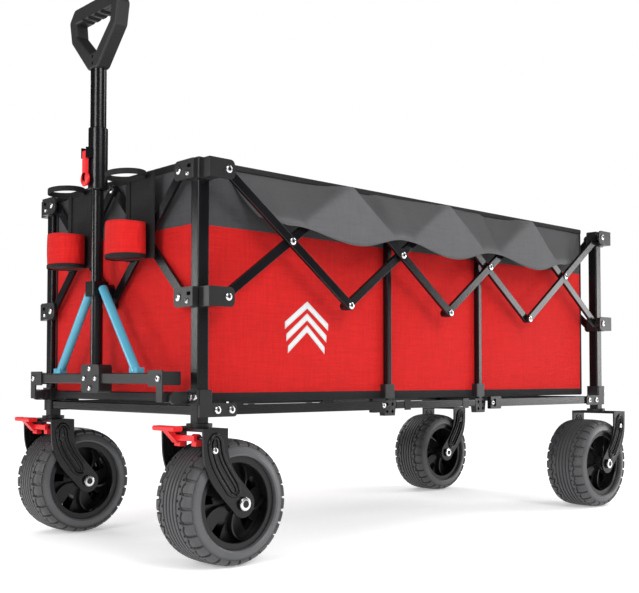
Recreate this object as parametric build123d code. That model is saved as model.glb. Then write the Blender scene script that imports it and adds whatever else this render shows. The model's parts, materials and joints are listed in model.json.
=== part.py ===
"""Folding beach cart: scissor-sided frame, cloth tub, four fat wheels and a telescoping handle.

Frame while modelling: +X is forward (the handle end), +Y is the cart's left side, +Z is up, and
z = 0 is the ground. At the end every piece is moved together so that the origin is the middle of
the footprint, on the ground. All sizes are millimetres and degrees.
"""
from build123d import *
from math import atan2, cos, degrees, hypot, pi, radians, sin
import os

# ---- driving dimensions -------------------------------------------------------------------
half_length = 587.0          # centre of the cart to the axis of an end post
half_width = 241.0           # centre of the cart to the axis of a side post
top_joint_z = 635.0          # upper scissor pivots
slider_z = 430.0             # lower scissor pivots at rest, where the sliders stand
foot_z = 270.0               # middle of the foot brackets and of the handle's hinge
rail_z = 249.0               # bottom rails
castor_z = 222.0             # top face of the castor crowns
joint_inset = 28.0           # post axis to the nearest scissor pivot
cells = 4                    # scissor cells in a long side

post_size = 22.0
post_wall = 1.6
post_corner = 3.0
bar_width = 16.0
bar_thick = 7.0
bar_gap = 0.6                # running gap between neighbouring layers of bars
end_bar_thick = 5.0
pin_radius = 3.0
pin_clearance = 0.4
bolt_head_radius = 6.0
bolt_head_height = 2.6
bracket_height = 32.0
bracket_wall = 3.0
slide_clearance = 0.4
rail_width = 12.0
rail_height = 16.0
centre_post_size = 12.0

wheel_radius = 101.6
tyre_width = 100.0
rim_radius = 74.0
hub_radius = 17.0
spokes = 5
axle_radius = 5.0
front_trail = 45.0           # swivel axis to the front axle
rear_lead = 45.0             # rear post axis to the rear axle
fork_thick = 3.6
fork_clearance = 3.5         # tyre side to fork arm
crown_front = 34.0
crown_back = 14.0
brake_angle = 20.0

tub_front_gap = 4.0          # the tub's front wall, forward of the post axis
tub_rear_gap = 42.0          # the tub's rear wall, forward of the rear post axis
tub_side_gap = 15.0          # the tub's side wall, inward of the post axis
tub_bottom_z = 262.5
tub_top_z = 655.0
tub_wall = 4.0
tub_rim_height = 9.0
cup_offset_y = 101.0
cup_half_width = 41.0
cup_depth = 60.0
cup_bottom_z = 501.0
cup_top_z = 559.0
cup_ring_z = 630.0
cup_wall = 2.4

handle_offset = 46.0         # post axis to the plane of the handle
yoke_z = 300.0
yoke_bar = 18.0
brace_foot_y = 129.0
brace_top_z = 457.0
lower_tube_radius = 10.5
upper_tube_radius = 14.0
tube_gap = 0.5
upper_tube_z = 634.0
upper_tube_top_z = 844.0
lower_tube_top_z = 784.0
grip_width = 166.0
grip_height = 116.0
grip_thick = 26.0
sleeve_length = 110.0         # the collar at the foot of the sliding tube
lever_pin_rise = 59.0        # foot of the sliding tube to the pin of its lever
lever_length = 58.0

# ---- derived layout -----------------------------------------------------------------------
joint_x = half_length - joint_inset
cell_width = 2 * joint_x / cells
scissor_height = top_joint_z - slider_z
post_face = post_size / 2
pitch = bar_thick + bar_gap
rail_inner = half_width
centre_face = rail_inner - 1.0
rail_outer = rail_inner + rail_width
layer_inner = rail_outer + bar_gap
ear_inner = layer_inner + 3 * pitch
ear_outer = ear_inner + bracket_wall
centre_x = cell_width / 2
end_layer = 7.5
end_ear_inner = end_layer + 2 * (end_bar_thick + bar_gap) + bar_gap
end_ear_outer = end_ear_inner + bracket_wall
yoke_half = half_width - 27.0
foot_half = 12.0
handle_x = half_length + handle_offset
hinge_x = half_length + handle_offset - 6.0
fork_inner = tyre_width / 2 + fork_clearance
fork_outer = fork_inner + fork_thick
front_axle = (half_length - front_trail, wheel_radius)
rear_axle = (-half_length + rear_lead, wheel_radius)


# ---- small helpers ------------------------------------------------------------------------
def block(x0, x1, y0, y1, z0, z1):
    """A box between two corners."""
    place = Pos((x0 + x1) / 2, (y0 + y1) / 2, (z0 + z1) / 2)
    return place * Box(abs(x1 - x0), abs(y1 - y0), abs(z1 - z0))


def rod_x(x0, x1, y, z, radius):
    return Pos((x0 + x1) / 2, y, z) * Rot(0, 90, 0) * Cylinder(radius, abs(x1 - x0))


def rod_y(x, y0, y1, z, radius):
    return Pos(x, (y0 + y1) / 2, z) * Rot(90, 0, 0) * Cylinder(radius, abs(y1 - y0))


def rod_z(x, y, z0, z1, radius):
    return Pos(x, y, (z0 + z1) / 2) * Cylinder(radius, abs(z1 - z0))


def soften(shape, radius, axis):
    """Round the edges that run along one axis."""
    return fillet(shape.edges().filter_by(axis), radius)


def bolt_y(x, z, y_tail, y_head):
    """A domed bolt along Y: its head lies on the face at y_head, pointing away from the tail."""
    side = 1 if y_head > y_tail else -1
    shank = rod_y(x, y_tail, y_head, z, pin_radius)
    head = rod_y(x, y_head, y_head + side * bolt_head_height, z, bolt_head_radius)
    rim = head.edges().filter_by(GeomType.CIRCLE).sort_by(Axis.Y)[-1 if side > 0 else 0]
    return shank + fillet(rim, bolt_head_height * 0.6)


def bolt_x(y, z, x_tail, x_head):
    """A domed bolt along X, with its head on the face at x_head."""
    side = 1 if x_head > x_tail else -1
    shank = rod_x(x_tail, x_head, y, z, pin_radius)
    head = rod_x(x_head, x_head + side * bolt_head_height, y, z, bolt_head_radius)
    rim = head.edges().filter_by(GeomType.CIRCLE).sort_by(Axis.X)[-1 if side > 0 else 0]
    return shank + fillet(rim, bolt_head_height * 0.6)


def other_side(solids):
    """The same solids on the other long side."""
    return [mirror(s, about=Plane.XZ) for s in solids]


def other_end(solids):
    """The same solids at the other end."""
    return [mirror(s, about=Plane.YZ) for s in solids]


def both_sides(solids):
    return list(solids) + other_side(solids)


def slot_chain(points, width):
    """A flat band of one width with round ends and bends, through points of a plane."""
    band = Sketch()
    for (x0, y0), (x1, y1) in zip(points, points[1:]):
        angle = degrees(atan2(y1 - y0, x1 - x0))
        place = Pos((x0 + x1) / 2, (y0 + y1) / 2) * Rot(0, 0, angle)
        band += place * SlotCenterToCenter(hypot(x1 - x0, y1 - y0), width)
    return band


# ---- scissor bars -------------------------------------------------------------------------
def layer_faces(layer):
    """Inner and outer face of one layer of bars: layer 1 is outermost, layer 3 innermost."""
    inner = layer_inner + (3 - layer) * pitch
    return inner, inner + bar_thick


def side_bar(start, end, layer):
    """One flat bar with round ends and three pivot holes, from (x, z) to (x, z)."""
    inner, outer = layer_faces(layer)
    (x0, z0), (x1, z1) = start, end
    length = hypot(x1 - x0, z1 - z0)
    outline = SlotCenterToCenter(length, bar_width)
    for at in (-length / 2, 0, length / 2):
        outline -= Pos(at, 0) * Circle(pin_radius + pin_clearance)
    flat = extrude(outline, bar_thick)
    rims = flat.edges().group_by(Axis.Z)
    long_rims = [e for e in list(rims[0]) + list(rims[-1]) if e.length > 4 * pin_radius * pi]
    flat = fillet(long_rims, 1.2)
    turn = -degrees(atan2(z1 - z0, x1 - x0))
    place = Pos((x0 + x1) / 2, outer, (z0 + z1) / 2) * Rot(0, turn, 0) * Rot(90, 0, 0)
    return place * flat


def joint_at(step):
    """X of a scissor pivot: step 0 is at the front posts, step `cells` at the rear posts."""
    return joint_x - step * cell_width


def top_joint(step):
    return (joint_at(step), top_joint_z)


def low_joint(step):
    return (joint_at(step), slider_z)


def crossing(cell):
    return (joint_at(cell - 0.5), (top_joint_z + slider_z) / 2)


def joint_pin(at, tail_layer, head_layer):
    """A pivot bolt through neighbouring layers, with its head outside."""
    return bolt_y(at[0], at[1], layer_faces(tail_layer)[0], layer_faces(head_layer)[1])


def barrel(at):
    """The black barrel nut inside a lower joint of the two outer layers."""
    inner = layer_faces(3)[0] + bar_gap
    outer = layer_faces(3)[1] - bar_gap / 2
    return rod_y(at[0], inner, outer, at[1], bolt_head_radius + 1)


def bars_a():
    """The chain that starts at the front top bracket and ends at the rear top bracket."""
    layers = (1, 2, 3, 2)
    pieces = []
    for cell, layer in zip(range(1, cells + 1), layers):
        ends = (top_joint(cell - 1), low_joint(cell))
        if cell % 2 == 0:
            ends = (low_joint(cell - 1), top_joint(cell))
        pieces.append([side_bar(ends[0], ends[1], layer)])
    pieces[0] += [joint_pin(crossing(1), 2, 1), joint_pin(low_joint(1), 2, 1), barrel(low_joint(1))]
    pieces[3] += [joint_pin(crossing(4), 3, 2), joint_pin(low_joint(3), 3, 2)]
    return pieces


def bars_b():
    """The chain that starts at the front slider and ends at the rear slider."""
    layers = (2, 1, 2, 3)
    pieces = []
    for cell, layer in zip(range(1, cells + 1), layers):
        ends = (low_joint(cell - 1), top_joint(cell))
        if cell % 2 == 0:
            ends = (top_joint(cell - 1), low_joint(cell))
        pieces.append([side_bar(ends[0], ends[1], layer)])
    pieces[1] += [joint_pin(top_joint(1), 2, 1), joint_pin(low_joint(2), 2, 1), barrel(low_joint(2))]
    pieces[1] += [joint_pin(crossing(2), 2, 1)]
    pieces[2] += [joint_pin(top_joint(3), 3, 2), joint_pin(crossing(3), 3, 2)]
    return pieces


# ---- posts and brackets -------------------------------------------------------------------
def post():
    """One square tube of the front left corner."""
    z0, z1 = castor_z + 6, top_joint_z + bracket_height / 2
    tube = soften(block(half_length - post_face, half_length + post_face, half_width - post_face,
                        half_width + post_face, z0, z1), post_corner, Axis.Z)
    inside = post_face - post_wall
    return tube - block(half_length - inside, half_length + inside, half_width - inside,
                        half_width + inside, z0 - 1, z1 + 1)


def side_ear(z):
    """The arm on a post's outer face that holds the end of a scissor bar, and its bolt."""
    low, high = z - bracket_height / 2, z + bracket_height / 2
    wall = half_width + post_face + slide_clearance
    arm = block(half_length - post_face, half_length + post_face - 1, wall, ear_outer,
                low, high)
    plate = block(half_length - joint_inset - 13, half_length, ear_inner, ear_outer, low, high)
    tip = plate.edges().filter_by(Axis.Y).sort_by(Axis.X)[:2]
    plate = fillet(tip, 9)
    hole = rod_y(half_length - joint_inset, ear_inner - 1, ear_outer + 1, z, pin_radius + pin_clearance)
    return soften(arm, 1, Axis.Z) + plate - hole


def end_ear(z):
    """The arm on a post's end face that holds the end of a cross bar."""
    low, high = z - bracket_height / 2, z + bracket_height / 2
    arm = block(half_length + post_face, half_length + end_ear_outer, half_width - post_face,
                half_width + post_face, low, high)
    plate = block(half_length + end_ear_inner, half_length + end_ear_outer,
                  half_width - joint_inset - 13, half_width, low, high)
    tip = plate.edges().filter_by(Axis.X).sort_by(Axis.Y)[:2]
    plate = fillet(tip, 9)
    hole = rod_x(half_length + end_ear_inner - 1, half_length + end_ear_outer + 1,
                 half_width - joint_inset, z, pin_radius + pin_clearance)
    window = block(half_length + end_ear_inner - 20, half_length + end_ear_outer + 1,
                   half_width - 5, half_width + 5, z + 2, z + 8)
    return soften(arm, 1, Axis.Z) + plate - hole - window


def top_bracket(layer):
    """A cap over the post's top, with a side arm and an end arm, and its bolts and spacers."""
    z = top_joint_z
    low, high = z - bracket_height / 2, z + bracket_height / 2
    out = post_face + bracket_wall
    cap = block(half_length - out, half_length + out, half_width - out, half_width + out, low,
                high + bracket_wall)
    cap = soften(cap, 2.5, Axis.Z)
    cap = fillet(cap.faces().sort_by(Axis.Z)[-1].edges(), 2)
    arms = side_ear(z) + end_ear(z)
    body = cap + arms
    body -= block(half_length - post_face, half_length + post_face, half_width - post_face,
                  half_width + post_face, low - 1, high)
    tail = layer_faces(layer)[0]
    side_bolt = bolt_y(half_length - joint_inset, z, tail, ear_outer)
    end_bolt = bolt_x(half_width - joint_inset, z, half_length + end_layer, half_length + end_ear_outer)
    rivet_x = half_length + end_ear_outer
    rivet = rod_x(rivet_x, rivet_x + 2, half_width - 4, z - 7, 4)
    return [body, side_bolt, end_bolt, rivet] + ear_spacer(z, layer)


def ear_spacer(z, layer):
    """The collar that fills the space between the outermost layer used and the ear."""
    outer = layer_faces(layer)[1] + bar_gap / 2
    if ear_inner - outer < bar_thick / 2:
        return []
    collar = rod_y(half_length - joint_inset, outer, ear_inner, z, bolt_head_radius)
    bore = rod_y(half_length - joint_inset, outer - 1, ear_inner + 1, z, pin_radius + pin_clearance)
    return [collar - bore]


def middle_bracket():
    """The fixed end arm half-way up a post, with its strap, bolts and spacers."""
    z = slider_z
    end_bolt = bolt_x(half_width - joint_inset, z, half_length + end_layer, half_length + end_ear_outer)
    rivet_x = half_length + end_ear_outer
    rivet = rod_x(rivet_x, rivet_x + 2, half_width - 4, z - 7, 4)
    return [end_ear(z), end_bolt, rivet]


def slider(layer):
    """The collar that slides on a post: three walls, a side arm, its bolt and spacer."""
    z = slider_z
    low, high = z - bracket_height / 2, z + bracket_height / 2
    gap = post_face + slide_clearance
    out = gap + bracket_wall
    shell = block(half_length - out, half_length + post_face - 1, half_width - out, half_width + out,
                  low, high)
    shell = soften(shell, 1.5, Axis.Z)
    shell = shell + side_ear(z)
    shell -= block(half_length - gap, half_length + out + 5, half_width - gap, half_width + gap,
                   low - 1, high + 1)
    bolt = bolt_y(half_length - joint_inset, z, layer_faces(layer)[0], ear_outer)
    return [shell, bolt] + ear_spacer(z, layer)


def foot_bracket():
    """The block low on a post: its collar, the rail's hinge plate and the castor's seat."""
    out = post_face + bracket_wall + 1
    low, high = foot_z - foot_half, foot_z + foot_half
    collar = soften(block(half_length - out, half_length + out, half_width - out, half_width + out,
                          low, high), 2, Axis.Z)
    plate = block(half_length - 64, half_length + post_face, rail_outer + slide_clearance,
                  rail_outer + 4, rail_z - 11, rail_z + 11)
    plate = fillet(plate.edges().filter_by(Axis.Y).sort_by(Axis.X)[:2], 6)
    web = block(half_length - post_face, half_length + post_face, half_width + post_face,
                rail_outer + 4, rail_z - 11, high)
    hole = rod_y(half_length - 24, rail_inner, rail_outer + 9, rail_z, pin_radius + pin_clearance)
    core = block(half_length - post_face, half_length + post_face, half_width - post_face,
                 half_width + post_face, castor_z, high + 1)
    body = collar + (plate + web) - core - hole
    seat = rod_z(half_length, half_width, castor_z + slide_clearance, castor_z + 6, 21)
    seat -= rod_z(half_length, half_width, castor_z - 1, castor_z + 7, 7)
    pin = bolt_y(half_length - 24, rail_z, rail_inner, rail_outer + 4)
    stud = rod_y(half_length - 53, rail_outer + 4, rail_outer + 6, rail_z, bolt_head_radius)
    return [body, seat, pin, stud]


def foot_studs():
    """Two round bolt heads on the end face of a foot bracket."""
    face = half_length + post_face + bracket_wall + 1
    return [rod_x(face, face + 2.4, half_width + dy, foot_z, 5) for dy in (-3, 9)]


def hinge_ear():
    """The arm and pin on a front foot that carry the handle's yoke."""
    face = half_length + post_face + bracket_wall + 1
    y0, y1 = half_width - 15, half_width - 8.5
    arm = block(face, hinge_x + 9, y0, y1, foot_z - 11, foot_z + 9)
    arm = fillet(arm.edges().filter_by(Axis.Y).sort_by(Axis.X)[-2:], 8)
    hole = rod_y(hinge_x, y0 - 5, y1 + 5, foot_z, 4)
    pin = rod_y(hinge_x, yoke_half - 8, y1, foot_z, 4)
    return [arm - hole, pin]


def end_cross_tube():
    """The low tube between the two posts of one end."""
    tube = block(half_length - 8, half_length + 8, -(half_width - post_face), half_width - post_face,
                 rail_z - 8, rail_z + 8)
    return [soften(tube, 2, Axis.Y)]


def end_bars():
    """Two scissor cells of flat bars across one end, with their bolts."""
    corner = half_width - joint_inset
    back = half_length + end_layer
    front = back + end_bar_thick + bar_gap
    pieces = []
    for side, near, far in ((1, front, back), (-1, back, front)):
        falling = ((side * corner, top_joint_z), (0, slider_z))
        rising = ((side * corner, slider_z), (0, top_joint_z))
        pieces += [end_bar(falling, near), end_bar(rising, far)]
        pieces.append(bolt_x(side * corner / 2, (top_joint_z + slider_z) / 2, back,
                             front + end_bar_thick))
    for z in (top_joint_z, slider_z):
        pieces.append(bolt_x(0, z, back, front + end_bar_thick))
    return pieces


def end_bar(ends, x_back):
    """One flat bar of an end, from (y, z) to (y, z)."""
    (y0, z0), (y1, z1) = ends
    length = hypot(y1 - y0, z1 - z0)
    outline = SlotCenterToCenter(length, bar_width)
    for at in (-length / 2, 0, length / 2):
        outline -= Pos(at, 0) * Circle(pin_radius + pin_clearance)
    flat = extrude(outline, end_bar_thick)
    along = (0, (y1 - y0) / length, (z1 - z0) / length)
    return Plane((x_back, (y0 + y1) / 2, (z0 + z1) / 2), x_dir=along, z_dir=(1, 0, 0)) * flat


# ---- middle frame and bottom rails ---------------------------------------------------------
def centre_posts():
    """Two thin posts in each long side."""
    y0, y1 = centre_face - centre_post_size, centre_face
    tubes = []
    for x in (centre_x, -centre_x):
        tube = block(x - centre_post_size / 2, x + centre_post_size / 2, y0, y1, rail_z + 9,
                     top_joint_z - 12)
        tubes.append(soften(tube, 2, Axis.Z))
    return both_sides(tubes)


def centre_bracket(x):
    """The ribbed plastic foot of a thin post, and the square cap above it."""
    y0, y1 = centre_face - centre_post_size, centre_face
    half = centre_post_size / 2
    cap = block(x - 13, x + 13, y0 - 1.6, y1 + 0.8, rail_z + 13, rail_z + 40)
    cap = soften(cap, 1.5, Axis.Z) - block(x - half, x + half, y0, y1, rail_z, rail_z + 50)
    with BuildPart() as foot:
        with BuildSketch(Plane.XZ.offset(-y1)) as outline:
            with BuildLine():
                Polyline((x - 18, rail_z + 9), (x + 18, rail_z + 9), (x + 14, rail_z - 20),
                         (x - 14, rail_z - 20), close=True)
            make_face()
        extrude(amount=centre_post_size + 1.4)
    foot = foot.part
    groove = 2.2
    for side in (-1, 1):
        for lean in (-1, 1):
            pocket = Pos(x + side * 7.5, y1 - 2, rail_z - 5 + lean * 7) * Rot(0, 45, 0)
            foot -= pocket * Box(6, 2 * groove, 6)
    stud = rod_y(x, y1, y1 + 0.7, rail_z - 5, 2.6)
    return [cap, foot, stud]


def centre_brackets():
    return both_sides(centre_bracket(centre_x) + centre_bracket(-centre_x))


def centre_rails():
    """The rails that tie the thin posts together, low and high, and the pins they hang from."""
    y0, y1 = centre_face - centre_post_size, centre_face
    inner = centre_x - 18.5
    low = soften(block(-inner, inner, y0, y1, rail_z - 7, rail_z + 7), 2, Axis.X)
    reach = centre_x + centre_post_size / 2
    high = soften(block(-reach, reach, y0, y1, top_joint_z - 12, top_joint_z), 2, Axis.X)
    lug = rod_y(0, y0, y1, top_joint_z, 9)
    high = high + lug - rod_y(0, y0 - 1, y1 + 1, top_joint_z, pin_radius)
    pin = bolt_y(0, top_joint_z, y0, layer_faces(2)[1])
    washer = rod_y(0, y1, layer_faces(3)[0] - bar_gap / 2, top_joint_z, 7)
    washer -= rod_y(0, y1 - 1, layer_faces(3)[0] + 1, top_joint_z, pin_radius)
    clips = []
    for x in (centre_x - 50, -centre_x + 50):
        plate = block(x - 9, x + 9, y1, y1 + 0.8, rail_z - 10, rail_z + 10)
        clips += [plate]
    return both_sides([low, high, pin, washer] + clips)


def bay_rail():
    """One bottom rail of the front bay: tube, dark end sleeve, grey lap plate and rivet."""
    x1 = half_length - 24
    x0 = centre_x + 36
    tube = block(x0, x1, rail_inner, rail_outer, rail_z - rail_height / 2, rail_z + rail_height / 2)
    tube = tube + rod_y(x1, rail_inner, rail_outer, rail_z, rail_height / 2)
    tube = tube - rod_y(x1, rail_inner - 1, rail_outer + 1, rail_z, pin_radius + pin_clearance)
    lap = block(centre_x + 22, x0 + 22, rail_inner, rail_outer - 3, rail_z - 13, rail_z + 13)
    lap = soften(lap, 2, Axis.Y)
    lap -= block(x0, x0 + 30, rail_inner - 1, rail_outer + 1, rail_z - rail_height / 2,
                 rail_z + rail_height / 2)
    rivet = rod_y(x0 - 8, rail_outer - 3, rail_outer - 0.6, rail_z, 4.5)
    return [tube, lap, rivet]


# ---- wheels -------------------------------------------------------------------------------
def tyre(axle, y):
    """A fat ribbed tyre: round shoulders, three centre grooves and two edge grooves."""
    inner = rim_radius + 0.2
    with BuildPart() as ring:
        with BuildSketch(Plane.XZ) as profile:
            with Locations(((inner + wheel_radius) / 2, 0)):
                Rectangle(wheel_radius - inner, tyre_width)
            outer = profile.vertices().group_by(Axis.X)[-1]
            fillet(outer, 15)
            for z in (-24, -8, 8, 24):
                with Locations((wheel_radius, z)):
                    Rectangle(6, 3, mode=Mode.SUBTRACT)
        revolve(axis=Axis.Z)
    return Pos(axle[0], y, axle[1]) * Rot(90, 0, 0) * ring.part


def rim(axle, y):
    """A dished wheel: barrel, hub and thin spokes, open between them."""
    half = tyre_width / 2 - 8
    barrel_ring = Cylinder(rim_radius, 2 * half) - Cylinder(rim_radius - 5, 2 * half + 2)
    lip = Cylinder(rim_radius - 4, 5) - Cylinder(rim_radius - 11, 7)
    wheel = barrel_ring + Pos(0, 0, half - 3) * lip + Pos(0, 0, -half + 3) * lip
    wheel += Cylinder(hub_radius, 2 * half + 8)
    reach = rim_radius - 3
    for k in range(spokes):
        arm = Pos(reach / 2, 0, 0) * Box(reach, 15, 56)
        wheel += Rot(0, 0, 360 / spokes * k + 18) * arm
    cone = Cone(reach - 4, hub_radius + 6, 22)
    wheel -= Pos(0, 0, half - 10) * Rot(180, 0, 0) * cone
    wheel -= Pos(0, 0, -(half - 10)) * cone
    wheel += Cylinder(hub_radius, 2 * half + 8)
    wheel += barrel_ring
    wheel -= Cylinder(axle_radius + pin_clearance, 2 * tyre_width)
    return Pos(axle[0], y, axle[1]) * Rot(90, 0, 0) * wheel


def fork_side():
    """The outline of one fork arm in the plane of the wheel, from the crown to the axle."""
    ax = -front_trail
    az = wheel_radius
    foot = 22.0
    with BuildSketch() as outline:
        with BuildLine():
            start = (crown_front, castor_z)
            shoulder = (crown_front - 1, castor_z - 34)
            lean = radians(40)
            front_foot = (ax + foot * cos(lean), az - foot * sin(lean))
            back_foot = (ax - foot * cos(lean), az + foot * sin(lean))
            back_shoulder = (-crown_back, castor_z - 30)
            Line(start, shoulder)
            Spline(shoulder, front_foot, tangents=((-0.05, -1), (-sin(lean), -cos(lean))))
            ThreePointArc(front_foot, (ax - foot * sin(lean), az - foot * cos(lean)), back_foot)
            Spline(back_foot, back_shoulder, tangents=((sin(lean), cos(lean)), (0.1, 1)))
            Line(back_shoulder, (-crown_back, castor_z))
            Line((-crown_back, castor_z), start)
        make_face()
    return outline.sketch


def fork_spine():
    """Points down the middle of a fork arm."""
    return [(10, castor_z - 22), (8, castor_z - 42), (-2, castor_z - 64), (-14, castor_z - 82),
            (-26, castor_z - 98)]


def fork_arm():
    """The outer arm of a fork at y = 0: pressed plate with two raised loops and its bolts."""
    plate = extrude(fork_side(), fork_thick)
    loop = slot_chain(fork_spine(), 26) - slot_chain(fork_spine(), 22.5)
    inner = slot_chain(fork_spine(), 13) - slot_chain(fork_spine(), 9.5)
    raised = extrude(loop + inner, fork_thick + 1.4)
    return Rot(90, 0, 0) * (plate + raised)


def fork():
    """A front left castor fork: crown with its king pin, two arms, axle bolt, small bolts, rod."""
    crown = block(-crown_back, crown_front, -fork_inner, fork_inner, castor_z - 5, castor_z)
    crown += rod_z(0, 0, castor_z, castor_z + 24, 6)
    outer = Pos(0, fork_outer, 0) * fork_arm()
    outer -= rod_y(-front_trail, fork_inner - 1, fork_outer + 3, wheel_radius, axle_radius + 0.2)
    arms = [outer, mirror(outer, about=Plane.XZ)]
    bolt = rod_y(-front_trail, -fork_outer, fork_outer, wheel_radius, axle_radius)
    heads = [rod_y(-front_trail, s * fork_outer, s * (fork_outer + 6), wheel_radius, 10.5)
             for s in (1, -1)]
    small = [rod_y(12, s * fork_outer, s * (fork_outer + 3), castor_z - 34, 5) for s in (1, -1)]
    rod = rod_y(26, -fork_inner, fork_inner, castor_z - 15, 3)
    place = Pos(half_length, half_width, 0)
    return [place * s for s in [crown] + arms + [bolt + heads[0] + heads[1]] + small + [rod]]


def rear_fork():
    """A rear left fork: as the front one turned round, fixed under the post, without a brake rod."""
    return [mirror(s, about=Plane.YZ) for s in fork()[:-1]]


def brake_pedal():
    """The red foot brake of a front left castor: pad, web, boss on its rod, and cam."""
    x, z = 26, castor_z - 15
    pad = block(x + 12, x + 30, -50, 8, castor_z - 5, castor_z + 3)
    pad = soften(pad, 3, Axis.Y)
    web = extrude(Plane.XZ * make_face(Polyline((x + 2, z - 5), (x + 16, castor_z - 4),
                                                (x + 28, castor_z - 4), (x + 8, z - 9),
                                                close=True)), 7, both=True)
    boss = rod_y(x, -10, 10, z, 6.5)
    cam = block(x - 7, x + 4, -8, 8, z - 15, z - 3)
    cam = soften(cam, 3, Axis.Y)
    second = rod_y(x, 22, 34, z, 6.5) + block(x - 6, x + 5, 22, 34, z - 13, z - 3)
    bore = rod_y(x, -60, 60, z, 3 + pin_clearance)
    lever = Pos(0, -18, 0) * (web + boss + cam) + pad
    tie = block(x + 3, x + 9, -18, 34, z - 5, z + 4)
    body = lever + tie + second - bore
    return [Pos(half_length, half_width, 0) * body]


# ---- tub and cup holders ------------------------------------------------------------------
def tub():
    """The cloth tub as one thin-walled open box."""
    x0, x1 = -half_length + tub_rear_gap, half_length + tub_front_gap
    y = half_width - tub_side_gap
    outer = soften(block(x0, x1, -y, y, tub_bottom_z, tub_top_z), 8, Axis.Z)
    inner = block(x0 + tub_wall, x1 - tub_wall, -y + tub_wall, y - tub_wall,
                  tub_bottom_z + tub_wall, tub_top_z + 1)
    body = outer - inner
    rim_y = half_width - post_face - slide_clearance
    rim = block(x0, x1 - 40, y, rim_y, tub_top_z - tub_rim_height, tub_top_z)
    return [body + rim + mirror(rim, about=Plane.XZ)]


def cup_outline(grow):
    return Ellipse(cup_half_width + grow, cup_depth / 2 + grow)


def cup_holder():
    """One bottle pocket: cup with a bottom, a strap ring above it, and the backing behind both."""
    back = half_length + end_ear_outer + bar_gap
    place = Pos(back + cup_depth / 2, cup_offset_y, 0) * Rot(0, 0, 90)
    cup = place * extrude(Pos(0, 0, cup_bottom_z) * cup_outline(0), cup_top_z - cup_bottom_z)
    hollow = Pos(0, 0, cup_bottom_z + cup_wall) * cup_outline(-cup_wall)
    cup -= place * extrude(hollow, cup_top_z - cup_bottom_z)
    ring = place * extrude(Pos(0, 0, cup_ring_z) * (cup_outline(0) - cup_outline(-cup_wall)), 14)
    y0, y1 = cup_offset_y - cup_half_width, cup_offset_y + cup_half_width
    panel = block(back - 1.6, back - 0.2, y0, y1, cup_bottom_z, tub_top_z - 6)
    return [cup, ring, panel]


# ---- handle -------------------------------------------------------------------------------
def yoke():
    """The swinging base of the handle: bar, hub block, end plates and hinge barrels."""
    half = yoke_bar / 2
    bar = block(handle_x - half, handle_x + half, -yoke_half, yoke_half, yoke_z - half, yoke_z + half)
    bar = soften(bar, 2, Axis.Y)
    hub = block(handle_x - half - 4, handle_x + half + 4, -30, 30, yoke_z - 25, yoke_z + 24)
    hub = fillet(hub.edges().filter_by(Axis.X), 6)
    ends = []
    for side in (1, -1):
        ends += yoke_end(side)
    studs = []
    face = handle_x + half + 4
    for y, z in ((-19, yoke_z), (19, yoke_z), (0, yoke_z + 17), (0, yoke_z - 17)):
        studs.append(rod_x(face, face + 2.4, y, z, 4.5))
    for side in (1, -1):
        face = handle_x + half + 3
        studs.append(rod_x(face, face + 2.4, side * (yoke_half - 4), yoke_z, 5.5))
    base = bar + hub - rod_z(handle_x, 0, yoke_z - 10, yoke_z + 40, lower_tube_radius)
    return [base] + ends + studs


def yoke_end(side):
    """One end plate of the yoke and the barrel that turns on the foot's pin."""
    face = handle_x + yoke_bar / 2
    y0, y1 = yoke_half - 10, yoke_half + 7
    top = block(face, face + 3, yoke_half - 34, yoke_half + 7, yoke_z - 13, yoke_z + 13)
    leg = block(face, face + 3, y0, y1, foot_z - 8, yoke_z)
    plate = fillet((top + leg).edges().filter_by(Axis.X), 2)
    cheek = block(handle_x - 24, face, yoke_half + 1, yoke_half + 7, yoke_z - 11, yoke_z + 11)
    plate += soften(cheek, 2, Axis.Y)
    tube = rod_y(hinge_x, y0, y1, foot_z, 9) + block(hinge_x, face, y0, y1, foot_z - 8, foot_z + 6)
    tube -= rod_y(hinge_x, y0 - 5, y1 + 5, foot_z, 4 + pin_clearance)
    pieces = [plate, tube]
    return pieces if side > 0 else other_side(pieces)


def brace(side):
    """One slanted brace between the yoke's bar and the tube's collar."""
    y0, z0 = side * brace_foot_y, yoke_z + yoke_bar / 2 + 2
    y1, z1 = side * (lower_tube_radius + 9), brace_top_z
    length = hypot(y1 - y0, z1 - z0)
    lean = degrees(atan2(z1 - z0, y1 - y0))
    stick = Pos(handle_x, (y0 + y1) / 2, (z0 + z1) / 2) * Rot(lean - 90, 0, 0) * Cylinder(8, length)
    shoe = block(handle_x - 7, handle_x + 7, y0 - 12, y0 + 12, yoke_z + yoke_bar / 2,
                 yoke_z + yoke_bar / 2 + 9)
    stick -= block(handle_x - 20, handle_x + 20, -200, 200, yoke_z - 30, yoke_z + yoke_bar / 2 + 0.1)
    collar_half = lower_tube_radius + 5
    stick -= block(handle_x - 20, handle_x + 20, -collar_half, collar_half, z1 - 40, z1 + 40)
    return stick + shoe


def braces():
    return [brace(1), brace(-1)]


def lower_tube():
    """The fixed tube, the collar that the braces meet and its knob."""
    tube = rod_z(handle_x, 0, yoke_z - 10, lower_tube_top_z, lower_tube_radius)
    tube -= rod_z(handle_x, 0, yoke_z - 8, lower_tube_top_z + 1, lower_tube_radius - 1.6)
    half = lower_tube_radius + 5
    collar = block(handle_x - half, handle_x + half, -half, half, brace_top_z - 14, brace_top_z + 12)
    collar = soften(collar, 4, Axis.Z)
    collar -= rod_z(handle_x, 0, 0, 1000, lower_tube_radius)
    knob = rod_x(handle_x - half - 16, handle_x - half, 0, brace_top_z, 9)
    return [tube, collar + knob]


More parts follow.
